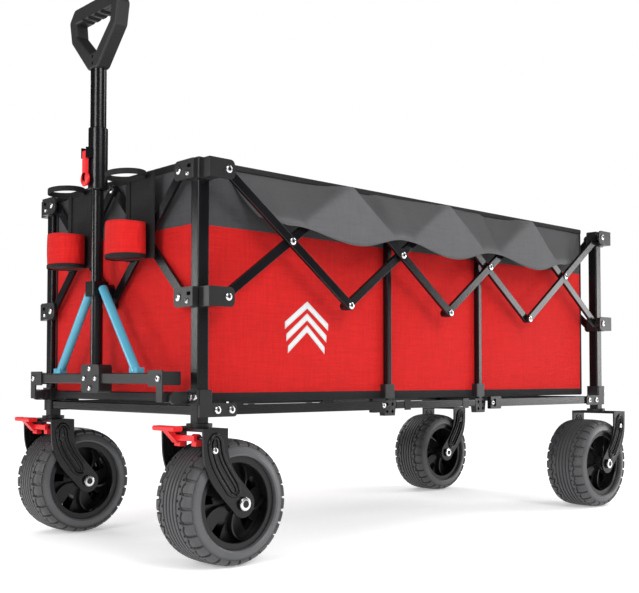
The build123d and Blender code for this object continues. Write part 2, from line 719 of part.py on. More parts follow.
def upper_tube():
    """The sliding tube, its lower sleeve and the lever's lugs."""
    inner = lower_tube_radius + tube_gap
    tube = rod_z(handle_x, 0, upper_tube_z, upper_tube_top_z, upper_tube_radius)
    sleeve = rod_z(handle_x, 0, upper_tube_z - 4, upper_tube_z - 4 + sleeve_length,
                   upper_tube_radius + 3)
    sleeve = fillet(sleeve.edges().filter_by(GeomType.CIRCLE), 2)
    lugs = []
    for side in (1, -1):
        lug = block(handle_x + 8, handle_x + upper_tube_radius + 14, side * 6.5, side * 9.5,
                    upper_tube_z + lever_pin_rise - 9, upper_tube_z + lever_pin_rise + 9)
        lugs.append(lug)
    body = tube + sleeve + lugs[0] + lugs[1]
    body -= rod_z(handle_x, 0, upper_tube_z - 10, upper_tube_top_z + 1, inner)
    pin_at = handle_x + upper_tube_radius + 9
    pin_z = upper_tube_z + lever_pin_rise
    pin = rod_y(pin_at, -9.5, 9.5, pin_z, 2)
    return [body - rod_y(pin_at, -12, 12, pin_z, 2), pin]


def release_lever():
    """The red squeeze lever in front of the sleeve, hanging from its pin."""
    x = handle_x + upper_tube_radius + 9
    z = upper_tube_z + lever_pin_rise
    paddle = block(x - 1, x + 5, -5.5, 5.5, z - lever_length, z + 4)
    paddle = fillet(paddle.edges().filter_by(Axis.Y), 2.4)
    paddle -= rod_y(x, -12, 12, z, 2 + pin_clearance)
    return [paddle]


def grip():
    """The D-shaped hand grip: neck, two cheeks and a grooved bar."""
    base = upper_tube_top_z
    top = base + grip_height + 6
    half = grip_width / 2
    with BuildPart() as loop:
        with BuildSketch(Plane.YZ) as outline:
            with BuildLine():
                Polyline((-16, base), (16, base), (half - 8, base + 62), (half, top - 20),
                         (half - 18, top), (-half + 18, top), (-half, top - 20),
                         (-half + 8, base + 62), close=True)
            make_face()
            fillet(outline.vertices(), 11)
            with BuildLine():
                Polyline((-10, base + 30), (10, base + 30), (half - 27, base + 72),
                         (half - 24, top - 28), (-half + 24, top - 28), (-half + 27, base + 72),
                         close=True)
            make_face(mode=Mode.SUBTRACT)
        extrude(amount=grip_thick / 2, both=True)
    body = Pos(handle_x, 0, 0) * loop.part
    faces = body.faces().filter_by(Axis.X)
    body = fillet([e for f in faces for e in f.edges()], 4)
    for k in range(4):
        y = (k - 1.5) * 21
        groove = Pos(handle_x, y, top - 33) * Rot(0, 90, 0) * Cylinder(9, 2 * grip_thick)
        body -= groove
    plug = rod_z(handle_x, 0, base - 12, base, lower_tube_radius + tube_gap)
    for side in (1, -1):
        body -= rod_x(handle_x - 30, handle_x + 30, 0, base + 12 * (1.5 - 0.5 * side) - 2, 3)
    return [body + plug]


# ---- assembly -----------------------------------------------------------------------------
def front_frame():
    """Everything that stands still at the front end."""
    return {
        "front_posts": both_sides([post()]),
        "front_top_brackets": both_sides(top_bracket(1)),
        "front_mid_brackets": both_sides(middle_bracket()),
        "front_feet": both_sides(foot_bracket() + foot_studs() + hinge_ear()),
        "front_cross_tube": end_cross_tube(),
        "front_end_bars": end_bars(),
        "tub": tub(),
        "cup_holders": both_sides(cup_holder()),
    }


def rear_frame():
    """Everything that moves with the rear end when the cart folds."""
    return {
        "rear_posts": other_end(both_sides([post()])),
        "rear_top_brackets": other_end(both_sides(top_bracket(2))),
        "rear_mid_brackets": other_end(both_sides(middle_bracket())),
        "rear_feet": other_end(both_sides(foot_bracket() + foot_studs())),
        "rear_cross_tube": other_end(end_cross_tube()),
        "rear_end_bars": other_end(end_bars()),
        "rear_forks": both_sides(rear_fork()),
    }


def middle_frame():
    return {
        "centre_posts": centre_posts(),
        "centre_brackets": centre_brackets(),
        "centre_rails": centre_rails(),
    }


def scissors():
    """Sixteen bars, four sliders and four bay rails, each in its own node."""
    nodes = {}
    for chain, bars in (("a", bars_a()), ("b", bars_b())):
        for number, pieces in enumerate(bars, 1):
            nodes[f"left_bar_{chain}{number}"] = pieces
            nodes[f"right_bar_{chain}{number}"] = other_side(pieces)
    front = slider(2)
    rear = other_end(slider(3))
    nodes["left_front_slider"] = front
    nodes["right_front_slider"] = other_side(front)
    nodes["left_rear_slider"] = rear
    nodes["right_rear_slider"] = other_side(rear)
    rail = bay_rail()
    nodes["left_front_rail"] = rail
    nodes["right_front_rail"] = other_side(rail)
    nodes["left_rear_rail"] = other_end(rail)
    nodes["right_rear_rail"] = other_side(other_end(rail))
    return nodes


def castors():
    """Forks, brakes, tyres and rims."""
    nodes = {}
    left_fork, left_pedal = fork(), brake_pedal()
    nodes["left_front_fork"] = left_fork
    nodes["right_front_fork"] = other_side(left_fork)
    nodes["left_brake_pedal"] = left_pedal
    nodes["right_brake_pedal"] = [Pos(0, -2 * half_width, 0) * s for s in left_pedal]
    for end, axle in (("front", front_axle), ("rear", rear_axle)):
        for side, y in (("left", half_width), ("right", -half_width)):
            nodes[f"{side}_{end}_tyre"] = [tyre(axle, y)]
            nodes[f"{side}_{end}_rim"] = [rim(axle, y)]
    return nodes


def handle():
    return {
        "handle_yoke": yoke(),
        "handle_braces": braces(),
        "handle_lower_tube": lower_tube(),
        "handle_upper_tube": upper_tube(),
        "handle_grip": grip(),
        "release_lever": release_lever(),
    }


def whole_cart():
    nodes = {}
    for group in (front_frame, rear_frame, middle_frame, scissors, castors, handle):
        nodes.update(group())
    return nodes


cart = whole_cart()
boxes = [s.bounding_box() for pieces in cart.values() for s in pieces]
shift = Vector(
    -(min(b.min.X for b in boxes) + max(b.max.X for b in boxes)) / 2,
    -(min(b.min.Y for b in boxes) + max(b.max.Y for b in boxes)) / 2,
    -min(b.min.Z for b in boxes),
)
os.makedirs("parts", exist_ok=True)
for name, pieces in cart.items():
    placed = [Pos(shift) * s for s in pieces]
    shape = placed[0] if len(placed) == 1 else Compound(children=placed)
    export_step(shape, f"parts/{name}.step")
print("nodes", len(cart), "shift", shift)
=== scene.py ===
# %% [markdown]
# A folding beach cart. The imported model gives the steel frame, its brackets, the forks and the
# handle. This lesson adds what a frame builder can't draw well: sewn cloth, rubber tread, bright
# bolts and the finish of every surface. Lengths are metres, +X is the handle end and +Z is up.

# %% load the frame
import bmesh
import bpy
import json
import math
from mathutils import Matrix, Vector, noise


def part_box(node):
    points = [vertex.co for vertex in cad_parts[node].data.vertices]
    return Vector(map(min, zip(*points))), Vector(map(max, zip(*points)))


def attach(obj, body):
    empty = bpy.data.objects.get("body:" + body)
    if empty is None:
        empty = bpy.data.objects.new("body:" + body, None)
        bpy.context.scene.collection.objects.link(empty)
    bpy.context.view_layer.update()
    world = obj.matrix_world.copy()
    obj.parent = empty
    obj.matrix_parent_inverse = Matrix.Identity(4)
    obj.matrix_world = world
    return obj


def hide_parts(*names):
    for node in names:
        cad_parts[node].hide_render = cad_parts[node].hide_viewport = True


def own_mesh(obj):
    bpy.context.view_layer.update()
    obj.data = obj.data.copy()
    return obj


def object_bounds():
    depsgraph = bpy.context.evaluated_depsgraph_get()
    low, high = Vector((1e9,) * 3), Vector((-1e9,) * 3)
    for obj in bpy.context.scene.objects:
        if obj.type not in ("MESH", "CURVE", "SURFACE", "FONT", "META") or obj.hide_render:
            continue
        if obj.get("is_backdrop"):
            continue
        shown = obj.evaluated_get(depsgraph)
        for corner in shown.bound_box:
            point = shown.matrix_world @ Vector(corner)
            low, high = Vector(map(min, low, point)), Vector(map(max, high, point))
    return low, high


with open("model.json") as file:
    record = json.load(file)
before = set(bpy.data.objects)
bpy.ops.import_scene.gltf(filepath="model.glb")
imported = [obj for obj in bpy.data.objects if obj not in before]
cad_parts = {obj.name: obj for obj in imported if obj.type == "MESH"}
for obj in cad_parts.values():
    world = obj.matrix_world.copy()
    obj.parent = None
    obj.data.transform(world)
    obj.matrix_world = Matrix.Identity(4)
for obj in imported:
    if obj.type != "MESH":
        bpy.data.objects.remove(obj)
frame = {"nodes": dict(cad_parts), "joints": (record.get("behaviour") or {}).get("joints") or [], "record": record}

cad_box = [list(corner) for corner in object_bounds()]
nodes = frame["nodes"]

# %% [markdown]
# Every size below is read from the frame, so cloth still fits when the frame changes. The scissor
# bars give the pivots: a bar's box ends half a bar's width beyond its pivots. The cloth tub's box
# gives the walls, and the boxes of three bars give the layers that the cloth has to clear.

# %% pivots, walls and layers
BAR_WIDTH = 0.016
WALL_INSET = 0.0036         # from the tub solid's side to the middle of the cloth
SIDES = ((1, "left"), (-1, "right"))
tub_low, tub_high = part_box("tub")
first_low, first_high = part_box("left_bar_a1")
last_low, last_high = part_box("left_bar_a4")
front_joint_x = first_high.x - BAR_WIDTH / 2
rear_joint_x = last_low.x + BAR_WIDTH / 2
top_joint_z = first_high.z - BAR_WIDTH / 2
low_joint_z = first_low.z + BAR_WIDTH / 2
CELLS = 4
cell = (front_joint_x - rear_joint_x) / CELLS
joint_x = [front_joint_x - step * cell for step in range(CELLS + 1)]
crossing_x = [front_joint_x - (step + 0.5) * cell for step in range(CELLS)]
crossing_z = (top_joint_z + low_joint_z) / 2
inner_layer_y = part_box("left_bar_a3")[1].y
middle_layer_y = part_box("left_bar_b1")[1].y
bolt_head_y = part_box("left_bar_b2")[1].y
post_low, post_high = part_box("centre_posts")
wall_y = tub_high.y - WALL_INSET
print("cell", round(cell, 4), "wall", round(wall_y, 4), "layers", inner_layer_y, middle_layer_y)

# %% [markdown]
# When the cart folds, the bars swing up by the fold's limit and every cell gets shorter. The cloth
# can't follow a scissor, so it has to flatten along the cart's length towards the front end. The bars'
# angle at rest and at the limit gives how far, which is printed; the cloth pieces keep their shape
# and ride on the front frame.

# %% how much the cloth shortens
fold = next(joint for joint in frame["joints"] if joint["name"] == "fold")
rest_angle = math.atan2(top_joint_z - low_joint_z, cell)
fold_angle = rest_angle + math.radians(max(abs(limit) for limit in fold["range_deg"]))
cell_keep = math.cos(fold_angle) / math.cos(rest_angle)
rear_travel = CELLS * cell * (1 - cell_keep)
wall_keep = 1 - rear_travel / (tub_high.x - tub_low.x)
print("a cell keeps", round(cell_keep, 3), "and a wall keeps", round(wall_keep, 3))


def crumple_wall(piece):
    """The piece rides on the front frame with a mesh of its own."""
    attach(piece, "front_frame")
    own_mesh(piece)


def crumple_cell(piece):
    """The piece rides on the front frame with a mesh of its own."""
    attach(piece, "front_frame")
    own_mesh(piece)


# %% [markdown]
# The camera stands low by the front left corner, about as high as the tub's floor, and looks a
# little up. A long lens keeps the posts nearly parallel. A small vertical shift keeps the whole
# handle in the picture without tilting the camera further, which would make the posts lean.

# %% camera
CAMERA_PLACE = Vector((1.5037, 1.519, 0.299))
CAMERA_HEADING = math.radians(227.05)
CAMERA_RISE = math.radians(1.99)
CAMERA_LENS = 55.24
CAMERA_SHIFT = (0.0017, 0.0757)

camera = bpy.data.objects.new("camera", bpy.data.cameras.new("camera"))
bpy.context.scene.collection.objects.link(camera)
camera.location = CAMERA_PLACE
level = math.cos(CAMERA_RISE)
ahead = Vector((level * math.cos(CAMERA_HEADING), level * math.sin(CAMERA_HEADING),
                math.sin(CAMERA_RISE)))
camera.rotation_mode = "QUATERNION"
camera.rotation_quaternion = ahead.to_track_quat("-Z", "Y")
camera.data.lens = CAMERA_LENS
camera.data.shift_x, camera.data.shift_y = CAMERA_SHIFT
bpy.context.scene.camera = camera
print("camera looks along", [round(part, 3) for part in ahead])

# %% [markdown]
# A product is usually lit in a white tent: light from everywhere, and large soft lamps for the
# highlights. In a plain white tent black paint turns grey, because it mirrors the white walls, so a
# photographer hangs black cloth round it. Here the world is white to the eye and for soft light,
# and dark for reflections. The standard view keeps a surface's colour as it was mixed.

# %% lights
BACKDROP, SOFT_LIGHT, MIRRORED = 1.0, 0.80, 0.03
bpy.context.scene.view_settings.view_transform = "Standard"
world = bpy.data.worlds.new("studio")
bpy.context.scene.world = world
world.use_nodes = True
world_nodes, world_links = world.node_tree.nodes, world.node_tree.links
rays = world_nodes.new("ShaderNodeLightPath")


def choose_level(ray, otherwise, level):
    """One strength for rays of one kind and another for the rest."""
    choose = world_nodes.new("ShaderNodeMix")
    world_links.new(rays.outputs[ray], choose.inputs[0])
    if isinstance(otherwise, float):
        choose.inputs[2].default_value = otherwise
    else:
        world_links.new(otherwise, choose.inputs[2])
    choose.inputs[3].default_value = level
    return choose.outputs[0]


unseen = choose_level("Is Glossy Ray", SOFT_LIGHT, MIRRORED)
strength = choose_level("Is Camera Ray", unseen, BACKDROP)
world_links.new(strength, world_nodes["Background"].inputs["Strength"])
world_nodes["Background"].inputs["Color"].default_value = (1.0, 1.0, 1.0, 1)


def soft_lamp(name, place, target, size, power):
    """A square area lamp that faces a target."""
    lamp = bpy.data.lights.new(name, "AREA")
    lamp.size = size
    lamp.energy = power
    holder = bpy.data.objects.new(name, lamp)
    holder.location = place
    holder.rotation_mode = "QUATERNION"
    holder.rotation_quaternion = (Vector(target) - Vector(place)).to_track_quat("-Z", "Y")
    bpy.context.scene.collection.objects.link(holder)


soft_lamp("key_lamp", (0.6, 2.8, 2.1), (0.1, 0, 0.4), 1.3, 42)
soft_lamp("front_lamp", (3.3, 0.9, 1.3), (0.5, 0, 0.4), 1.1, 34)
soft_lamp("back_lamp", (-2.6, 1.2, 2.2), (0, 0, 0.4), 1.3, 24)
soft_lamp("far_lamp", (-1.0, -3.0, 2.0), (0, 0, 0.4), 1.4, 26)
soft_lamp("side_glint_lamp", (-2.2, 1.5, 0.55), (-0.3, 0.24, 0.5), 0.7, 12)
soft_lamp("front_glint_lamp", (2.1, -1.4, 0.6), (0.6, 0.2, 0.5), 0.5, 8)
print("lamps", [lamp.name for lamp in bpy.data.lights])

# %% [markdown]
# Materials are graphs of nodes. Written node by node they are long and hard to read, so a small
# class wraps a socket and lets Python's operators add Math nodes: noise * 0.2 + 0.4 is two of them.
# Any other node comes from one method, which takes the node's type, its settings and its sockets.


# %% a socket that understands arithmetic
class Value:
    """One output of a node. Arithmetic on it adds Math nodes to the same material."""

    def __init__(self, finish, socket):
        self.finish = finish
        self.socket = socket

    def maths(self, operation, first, second):
        return self.finish.node("Math", {"operation": operation}, {0: first, 1: second})

    def __add__(self, other):
        return self.maths("ADD", self, other)

    def __radd__(self, other):
        return self.maths("ADD", other, self)

    def __sub__(self, other):
        return self.maths("SUBTRACT", self, other)

    def __rsub__(self, other):
        return self.maths("SUBTRACT", other, self)

    def __mul__(self, other):
        return self.maths("MULTIPLY", self, other)

    def __rmul__(self, other):
        return self.maths("MULTIPLY", other, self)


class Finish:
    """A material while it is being made."""

    def __init__(self, name):
        self.material = bpy.data.materials.new(name)
        self.material.use_nodes = True
        self.tree = self.material.node_tree
        self.shader = self.tree.nodes["Principled BSDF"]

    def node(self, kind, settings=None, sockets=None, output=0):
        """Adds one node: its settings first, then a value or a link for each socket."""
        made = self.tree.nodes.new("ShaderNode" + kind)
        for key, setting in (settings or {}).items():
            setattr(made, key, setting)
        for key, value in (sockets or {}).items():
            self.join(made.inputs[key], value)
        return Value(self, made.outputs[output])

    def join(self, socket, value):
        if isinstance(value, Value):
            self.tree.links.new(value.socket, socket)
        else:
            socket.default_value = value

    def place(self, stretch=(1, 1, 1)):
        """Object coordinates in metres, stretched along each axis."""
        spot = self.node("TexCoord", output="Object")
        return self.node("Mapping", sockets={"Vector": spot, "Scale": stretch})

    def speckle(self, scale, detail=3.0, stretch=(1, 1, 1)):
        return self.node("TexNoise", sockets={"Vector": self.place(stretch), "Scale": scale,
                                              "Detail": detail})

    def mix(self, share, first, second):
        """A colour between two colours."""
        return self.node("Mix", {"data_type": "RGBA"}, {0: share, 6: first, 7: second}, output=2)

    def bump(self, height, distance, strength=1.0):
        return self.node("Bump", sockets={"Height": height, "Distance": distance,
                                          "Strength": strength})

    def done(self, **sockets):
        """Sets the shader's sockets; underscores in a name stand for spaces."""
        for key, value in sockets.items():
            self.join(self.shader.inputs[key.replace("_", " ")], value)
        return self.material


def tone(red, green, blue):
    return (red, green, blue, 1.0)


# %% [markdown]
# Powder coat is melted on, so it is smooth with a faint orange peel, and dust dulls it in patches.
# Fine noise drives the bump, and a slow noise changes the roughness and the tone a little.


# %% paint and plastics
def powder_coat(name, dark, light, shine):
    """Sprayed and baked paint with orange peel."""
    paint = Finish(name)
    patches = paint.speckle(9.0)
    peel = paint.speckle(420.0, 2.0)
    return paint.done(Base_Color=paint.mix(patches, dark, light),
                      Roughness=patches * 0.16 + shine,
                      Normal=paint.bump(peel, 0.0004, 0.35),
                      Specular_IOR_Level=0.32)


def moulded_plastic(name, dark, light, shine, grain=900.0):
    """Injection-moulded plastic with a fine spark-eroded grain."""
    plastic = Finish(name)
    patches = plastic.speckle(14.0)
    pits = plastic.speckle(grain, 2.0)
    return plastic.done(Base_Color=plastic.mix(patches, dark, light),
                        Roughness=pits * 0.12 + patches * 0.08 + shine,
                        Normal=plastic.bump(pits, 0.0003, 0.4), Specular_IOR_Level=0.36)


frame_black = powder_coat("frame_black", tone(0.003, 0.003, 0.004),
                          tone(0.007, 0.007, 0.008), 0.13)
bracket_black = moulded_plastic("bracket_black", tone(0.010, 0.010, 0.011),
                                tone(0.018, 0.018, 0.019), 0.26)
fork_black = powder_coat("fork_black", tone(0.003, 0.003, 0.004),
                         tone(0.008, 0.008, 0.009), 0.12)
rim_black = moulded_plastic("rim_black", tone(0.006, 0.006, 0.007), tone(0.010, 0.010, 0.011),
                            0.20, 500.0)
grip_black = moulded_plastic("grip_black", tone(0.012, 0.012, 0.013),
                             tone(0.022, 0.022, 0.023), 0.42)
signal_red = moulded_plastic("signal_red", tone(0.62, 0.012, 0.016),
                             tone(0.78, 0.02, 0.024), 0.28)
ice_blue = powder_coat("ice_blue", tone(0.035, 0.19, 0.29), tone(0.12, 0.40, 0.53), 0.08)
print("finishes", len(bpy.data.materials))

# %% [markdown]
# Bolts are bright zinc: metal, brushed by tumbling, so the roughness varies in fine streaks. Tread
# rubber is a soft grey with a dusty bloom, and paler on the sidewall. Both are short graphs.


# %% metal and rubber
def bright_zinc():
    zinc = Finish("bright_zinc")
    streaks = zinc.speckle(600.0, 2.0, (1, 1, 4))
    return zinc.done(Base_Color=zinc.mix(streaks, tone(0.72, 0.72, 0.74), tone(0.92, 0.92, 0.93)),
                     Metallic=1.0, Roughness=streaks * 0.2 + 0.16)


def tread_rubber():
    """Grey rubber: dusty on the tread, smoother and paler on the sidewall."""
    rubber = Finish("tread_rubber")
    bloom = rubber.speckle(30.0, 5.0)
    grit = rubber.speckle(700.0, 2.0)
    side = rubber.node("Attribute", {"attribute_name": "sidewall"}, output="Fac")
    tread = rubber.mix(bloom, tone(0.036, 0.036, 0.038), tone(0.070, 0.071, 0.074))
    wall = rubber.mix(bloom, tone(0.062, 0.063, 0.066), tone(0.095, 0.096, 0.100))
    return rubber.done(Base_Color=rubber.mix(side, tread, wall),
                       Roughness=bloom * 0.16 - side * 0.12 + 0.40,
                       Normal=rubber.bump(grit, 0.0004, 0.5))


zinc_finish = bright_zinc()
rubber_finish = tread_rubber()

# %% [markdown]
# The tub is coated polyester: a plain weave whose threads run along the cart and up the wall. The
# weave is two waves, one along each thread direction, and their product lifts the crossings. Uneven
# threads show as long soft slubs, so stretched noise varies the tone as well. The wall across the
# cart has its threads along Y, so the weave takes the direction as a value.


# %% woven cloth
THREAD_PITCH = 0.0016
SLUB_HEIGHT = 1.6            # against a weave that is 1 high
BAND_Z = 0.5505              # where the grey band is sewn on
SEAM_HALF_WIDTH = 0.0012
TUB_RED = (tone(0.46, 0.005, 0.005), tone(0.80, 0.017, 0.015))


def weave_height(cloth, along):
    """The height of a plain weave: along is X for the long walls and Y for the end walls."""
    turns = 2 * math.pi / THREAD_PITCH
    spot = cloth.node("TexCoord", output="Object")
    parts = {name: cloth.node("SeparateXYZ", sockets={"Vector": spot}, output=name)
             for name in (along, "Z")}
    waves = [cloth.node("Math", {"operation": "SINE"}, {0: part * turns})
             for part in parts.values()]
    return waves[0] * waves[1] * 0.5 + 0.5


def slubs(cloth, along):
    """Soft uneven threads both ways, from 0 to 1."""
    fine, long = 300.0, 22.0
    flat = (long, 1, fine) if along == "X" else (1, long, fine)
    tall = (fine, 1, long) if along == "X" else (1, fine, long)
    both = (cloth.speckle(1.0, 3.0, flat) + cloth.speckle(1.0, 3.0, tall)) * 0.5
    return (both - 0.5) * 1.8 + 0.5


def start_cloth(name, along):
    """A new cloth finish, its slubs, and the shade that mixes its dark and light thread."""
    cloth = Finish(name)
    uneven = slubs(cloth, along)
    return cloth, uneven, uneven * 0.7 + cloth.speckle(5.0) * 0.3


def end_cloth_finish(cloth, colour, uneven, height, roughness):
    """Every cloth is matt and gets its weave and slubs as a bump."""
    return cloth.done(Base_Color=colour, Roughness=uneven * 0.1 + roughness,
                      Normal=cloth.bump(height, 0.0011, 0.8), Specular_IOR_Level=0.22)


def woven(name, dark, light, along, roughness):
    """One colour of woven cloth."""
    cloth, uneven, shade = start_cloth(name, along)
    height = weave_height(cloth, along) + uneven * SLUB_HEIGHT
    return end_cloth_finish(cloth, cloth.mix(shade, dark, light), uneven, height, roughness)


def two_tone(name, along):
    """Red cloth with a sewn-on dark grey band above BAND_Z and a seam between them."""
    cloth, uneven, shade = start_cloth(name, along)
    spot = cloth.node("TexCoord", output="Object")
    height_up = cloth.node("SeparateXYZ", sockets={"Vector": spot}, output="Z")
    band = cloth.node("Math", {"operation": "GREATER_THAN"}, {0: height_up, 1: BAND_Z})
    grey = cloth.mix(shade, tone(0.050, 0.051, 0.054), tone(0.088, 0.089, 0.093))
    seam = cloth.node("Math", {"operation": "COMPARE"},
                      {0: height_up, 1: BAND_Z, 2: SEAM_HALF_WIDTH})
    height = weave_height(cloth, along) + uneven * SLUB_HEIGHT - seam * 2.0
    colour = cloth.mix(band, cloth.mix(shade, *TUB_RED), grey)
    return end_cloth_finish(cloth, colour, uneven, height, 0.76)


def flap_weave():
    """The grey skirt's cloth, shaded by its fold_tone attribute."""
    cloth, uneven, shade = start_cloth("flap_grey", "X")
    fold = cloth.node("Attribute", {"attribute_name": "fold_tone"}, output="Fac")
    grey = cloth.mix(shade, tone(0.100, 0.101, 0.104), tone(0.150, 0.151, 0.155))
    height = weave_height(cloth, "X") + uneven * SLUB_HEIGHT
    # Painted shade: the dips between the peaks are mixed towards this dark grey.
    colour = cloth.mix(fold, tone(0.045, 0.045, 0.047), grey)
    return end_cloth_finish(cloth, colour, uneven, height, 0.78)


side_cloth = two_tone("side_cloth", "X")
end_cloth = two_tone("end_cloth", "Y")
flap_cloth = flap_weave()
red_cloth = woven("red_cloth", *TUB_RED, "Y", 0.78)
black_cloth = woven("black_cloth", tone(0.012, 0.012, 0.013), tone(0.026, 0.026, 0.028),
                    "X", 0.6)
black_webbing = woven("black_webbing", tone(0.010, 0.010, 0.011), tone(0.020, 0.020, 0.021),
                      "Y", 0.5)
white_print = woven("white_print", tone(0.80, 0.80, 0.80), tone(0.90, 0.90, 0.90), "X", 0.5)
print("finishes", len(bpy.data.materials))

# %% [markdown]
# A few helpers are used by every new piece. One turns a finished bmesh into an object with a
# material, two add live modifiers for thickness and round edges, and one makes a flat grid of cloth
# to shape. The last two ease a value from one mark to the next without a corner.


# %% helpers for new pieces
def make_piece(name, bm, finish, smooth=True):
    """A finished bmesh becomes an object at the origin."""
    mesh = bpy.data.meshes.new(name)
    bm.to_mesh(mesh)
    bm.free()
    mesh.materials.append(finish)
    for face in mesh.polygons:
        face.use_smooth = smooth
    piece = bpy.data.objects.new(name, mesh)
    bpy.context.scene.collection.objects.link(piece)
    return piece


def thicken(piece, thickness, offset=0.0):
    """A live Solidify modifier, as cloth has two sides."""
    wall = piece.modifiers.new("thickness", "SOLIDIFY")
    wall.thickness = thickness
    wall.offset = offset
    wall.use_even_offset = True


def round_edges(piece, width, segments=2, angle=35):
    """A live Bevel modifier on the sharp edges."""
    edge = piece.modifiers.new("edges", "BEVEL")
    edge.width = width
    edge.segments = segments
    edge.limit_method = "ANGLE"
    edge.angle_limit = math.radians(angle)


def cloth_grid(columns, rows, shape):
    """A grid whose points go where shape(u, v) says: u and v run from 0 to 1."""
    bm = bmesh.new()
    bmesh.ops.create_grid(bm, x_segments=columns, y_segments=rows, size=0.5)
    for vert in bm.verts:
        vert.co = shape(vert.co.x + 0.5, vert.co.y + 0.5)
    bmesh.ops.recalc_face_normals(bm, faces=bm.faces)
    return bm


def ease(share):
    """0 to 1 with a gentle start and end."""
    share = max(0.0, min(1.0, share))
    return share * share * (3 - 2 * share)


def smooth_through(keys, at):
    """An eased curve through (place, value) keys in rising order of place."""
    if at <= keys[0][0]:
        return keys[0][1]
    for (x0, v0), (x1, v1) in zip(keys, keys[1:]):
        if at <= x1:
            return v0 + (v1 - v0) * ease((at - x0) / (x1 - x0))
    return keys[-1][1]


# %% [markdown]
# The long walls hang between the end posts, and two thin posts press on each of them, so a wall
# bellies out between the posts and stays flat behind them. A cloth simulation could find that
# shape, but the wall is nearly taut, so a short formula gives the same belly: a sine across each
# bay times a sine up the wall, with small wrinkles that fan out from the corners.

# %% long walls
WALL_GAP = 0.0012            # the cloth's thickness
BELLY, WRINKLE = 0.007, 0.0009
POST_HALF = 0.006
wall_length = tub_high.x - tub_low.x
wall_height = tub_high.z - tub_low.z
bays = [tub_low.x, post_low.x + POST_HALF, post_high.x - POST_HALF, tub_high.x]


def belly(x, up):
    """How far the wall stands out between the posts, from 0 to 1."""
    for start, end in zip(bays, bays[1:]):
        if start <= x <= end:
            return math.sin(math.pi * (x - start) / (end - start)) * math.sin(math.pi * up ** 0.8)
    return 0.0


def wrinkle(x, z, size):
    """Small tension wrinkles: noise stretched up the wall."""
    return noise.noise(Vector((x * 34, z * 5.5, 2.7))) * size


def long_wall(side):
    def shape(u, v):
        x = tub_low.x + u * wall_length
        z = tub_low.z + v * wall_height
        out = wall_y + WALL_GAP / 2 + belly(x, v) * BELLY + wrinkle(x, z, WRINKLE)
        return Vector((x, side * out, z))
    return cloth_grid(150, 52, shape)


for side, side_name in SIDES:
    wall = make_piece(f"{side_name}_wall_cloth", long_wall(side), side_cloth)
    thicken(wall, WALL_GAP)
    crumple_wall(wall)
    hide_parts("tub")
print("long walls", round(wall_length, 3), "by", round(wall_height, 3))

# %% [markdown]
# The end walls are the same cloth, turned across the cart. The front one stays on the front frame
# and the rear one rides on the rear frame, so they part from each other as the cart folds.

# %% end walls and floor
end_width = 2 * wall_y
END_WALLS = (("front", tub_high.x - 0.003, 1, "front_frame"),
             ("rear", tub_low.x + 0.001, -1, "rear_frame"))


def end_wall(x, outward):
    def shape(u, v):
        y = -wall_y + u * end_width
        swell = math.sin(math.pi * u) * math.sin(math.pi * v ** 0.8)
        z = tub_low.z + v * wall_height
        return Vector((x + outward * (swell * 0.003 + wrinkle(y, z, WRINKLE)), y, z))
    return cloth_grid(60, 48, shape)


for end_name, x, outward, body in END_WALLS:
    wall = make_piece(f"{end_name}_wall_cloth", end_wall(x, outward), end_cloth)
    thicken(wall, WALL_GAP)
    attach(wall, body)


def floor_shape(u, v):
    x = tub_low.x + u * wall_length
    y = -wall_y + v * end_width
    sag = math.sin(math.pi * u) * math.sin(math.pi * v)
    return Vector((x, y, tub_low.z + 0.004 - 0.003 * sag + wrinkle(x, y, 0.0006)))


tub_floor = make_piece("tub_floor_cloth", cloth_grid(90, 40, floor_shape), black_cloth)
thicken(tub_floor, WALL_GAP)
crumple_wall(tub_floor)
print("end walls", round(end_width, 3), "wide")

# %% [markdown]
# Folded tape covers the tub's raw edges. It is a strip with a rounded section, so it starts as a
# box whose edges are bevelled. Long strips are cut into many short lengths, and each length follows
# the wall behind it.


# %% edge tapes
def tape(name, low, high, cuts, axis, finish=black_webbing, body=None, follow=None):
    """A rounded strip that fills a box, cut across one axis so that it can follow a curve."""
    bm = bmesh.new()
    bmesh.ops.create_cube(bm, size=1.0)
    along = [edge for edge in bm.edges
             if abs(edge.verts[0].co[axis] - edge.verts[1].co[axis]) > 0.5]
    bmesh.ops.subdivide_edges(bm, edges=along, cuts=cuts, use_grid_fill=True)
    size = Vector(high) - Vector(low)
    centre = (Vector(high) + Vector(low)) / 2
    for vert in bm.verts:
        vert.co = centre + Vector(part * length for part, length in zip(vert.co, size))
        if follow:
            vert.co += follow(vert.co)
    bmesh.ops.recalc_face_normals(bm, faces=bm.faces)
    piece = make_piece(name, bm, finish, smooth=False)
    round_edges(piece, min(size) * 0.35, 3)
    if body:
        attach(piece, body)
    return piece


def follow_belly(side):
    def offset(spot):
        up = (spot.z - tub_low.z) / wall_height
        up = max(0.0, min(1.0, up))
        out = belly(spot.x, up) * BELLY + wrinkle(spot.x, spot.z, WRINKLE)
        return Vector((0, side * out, 0))
    return offset


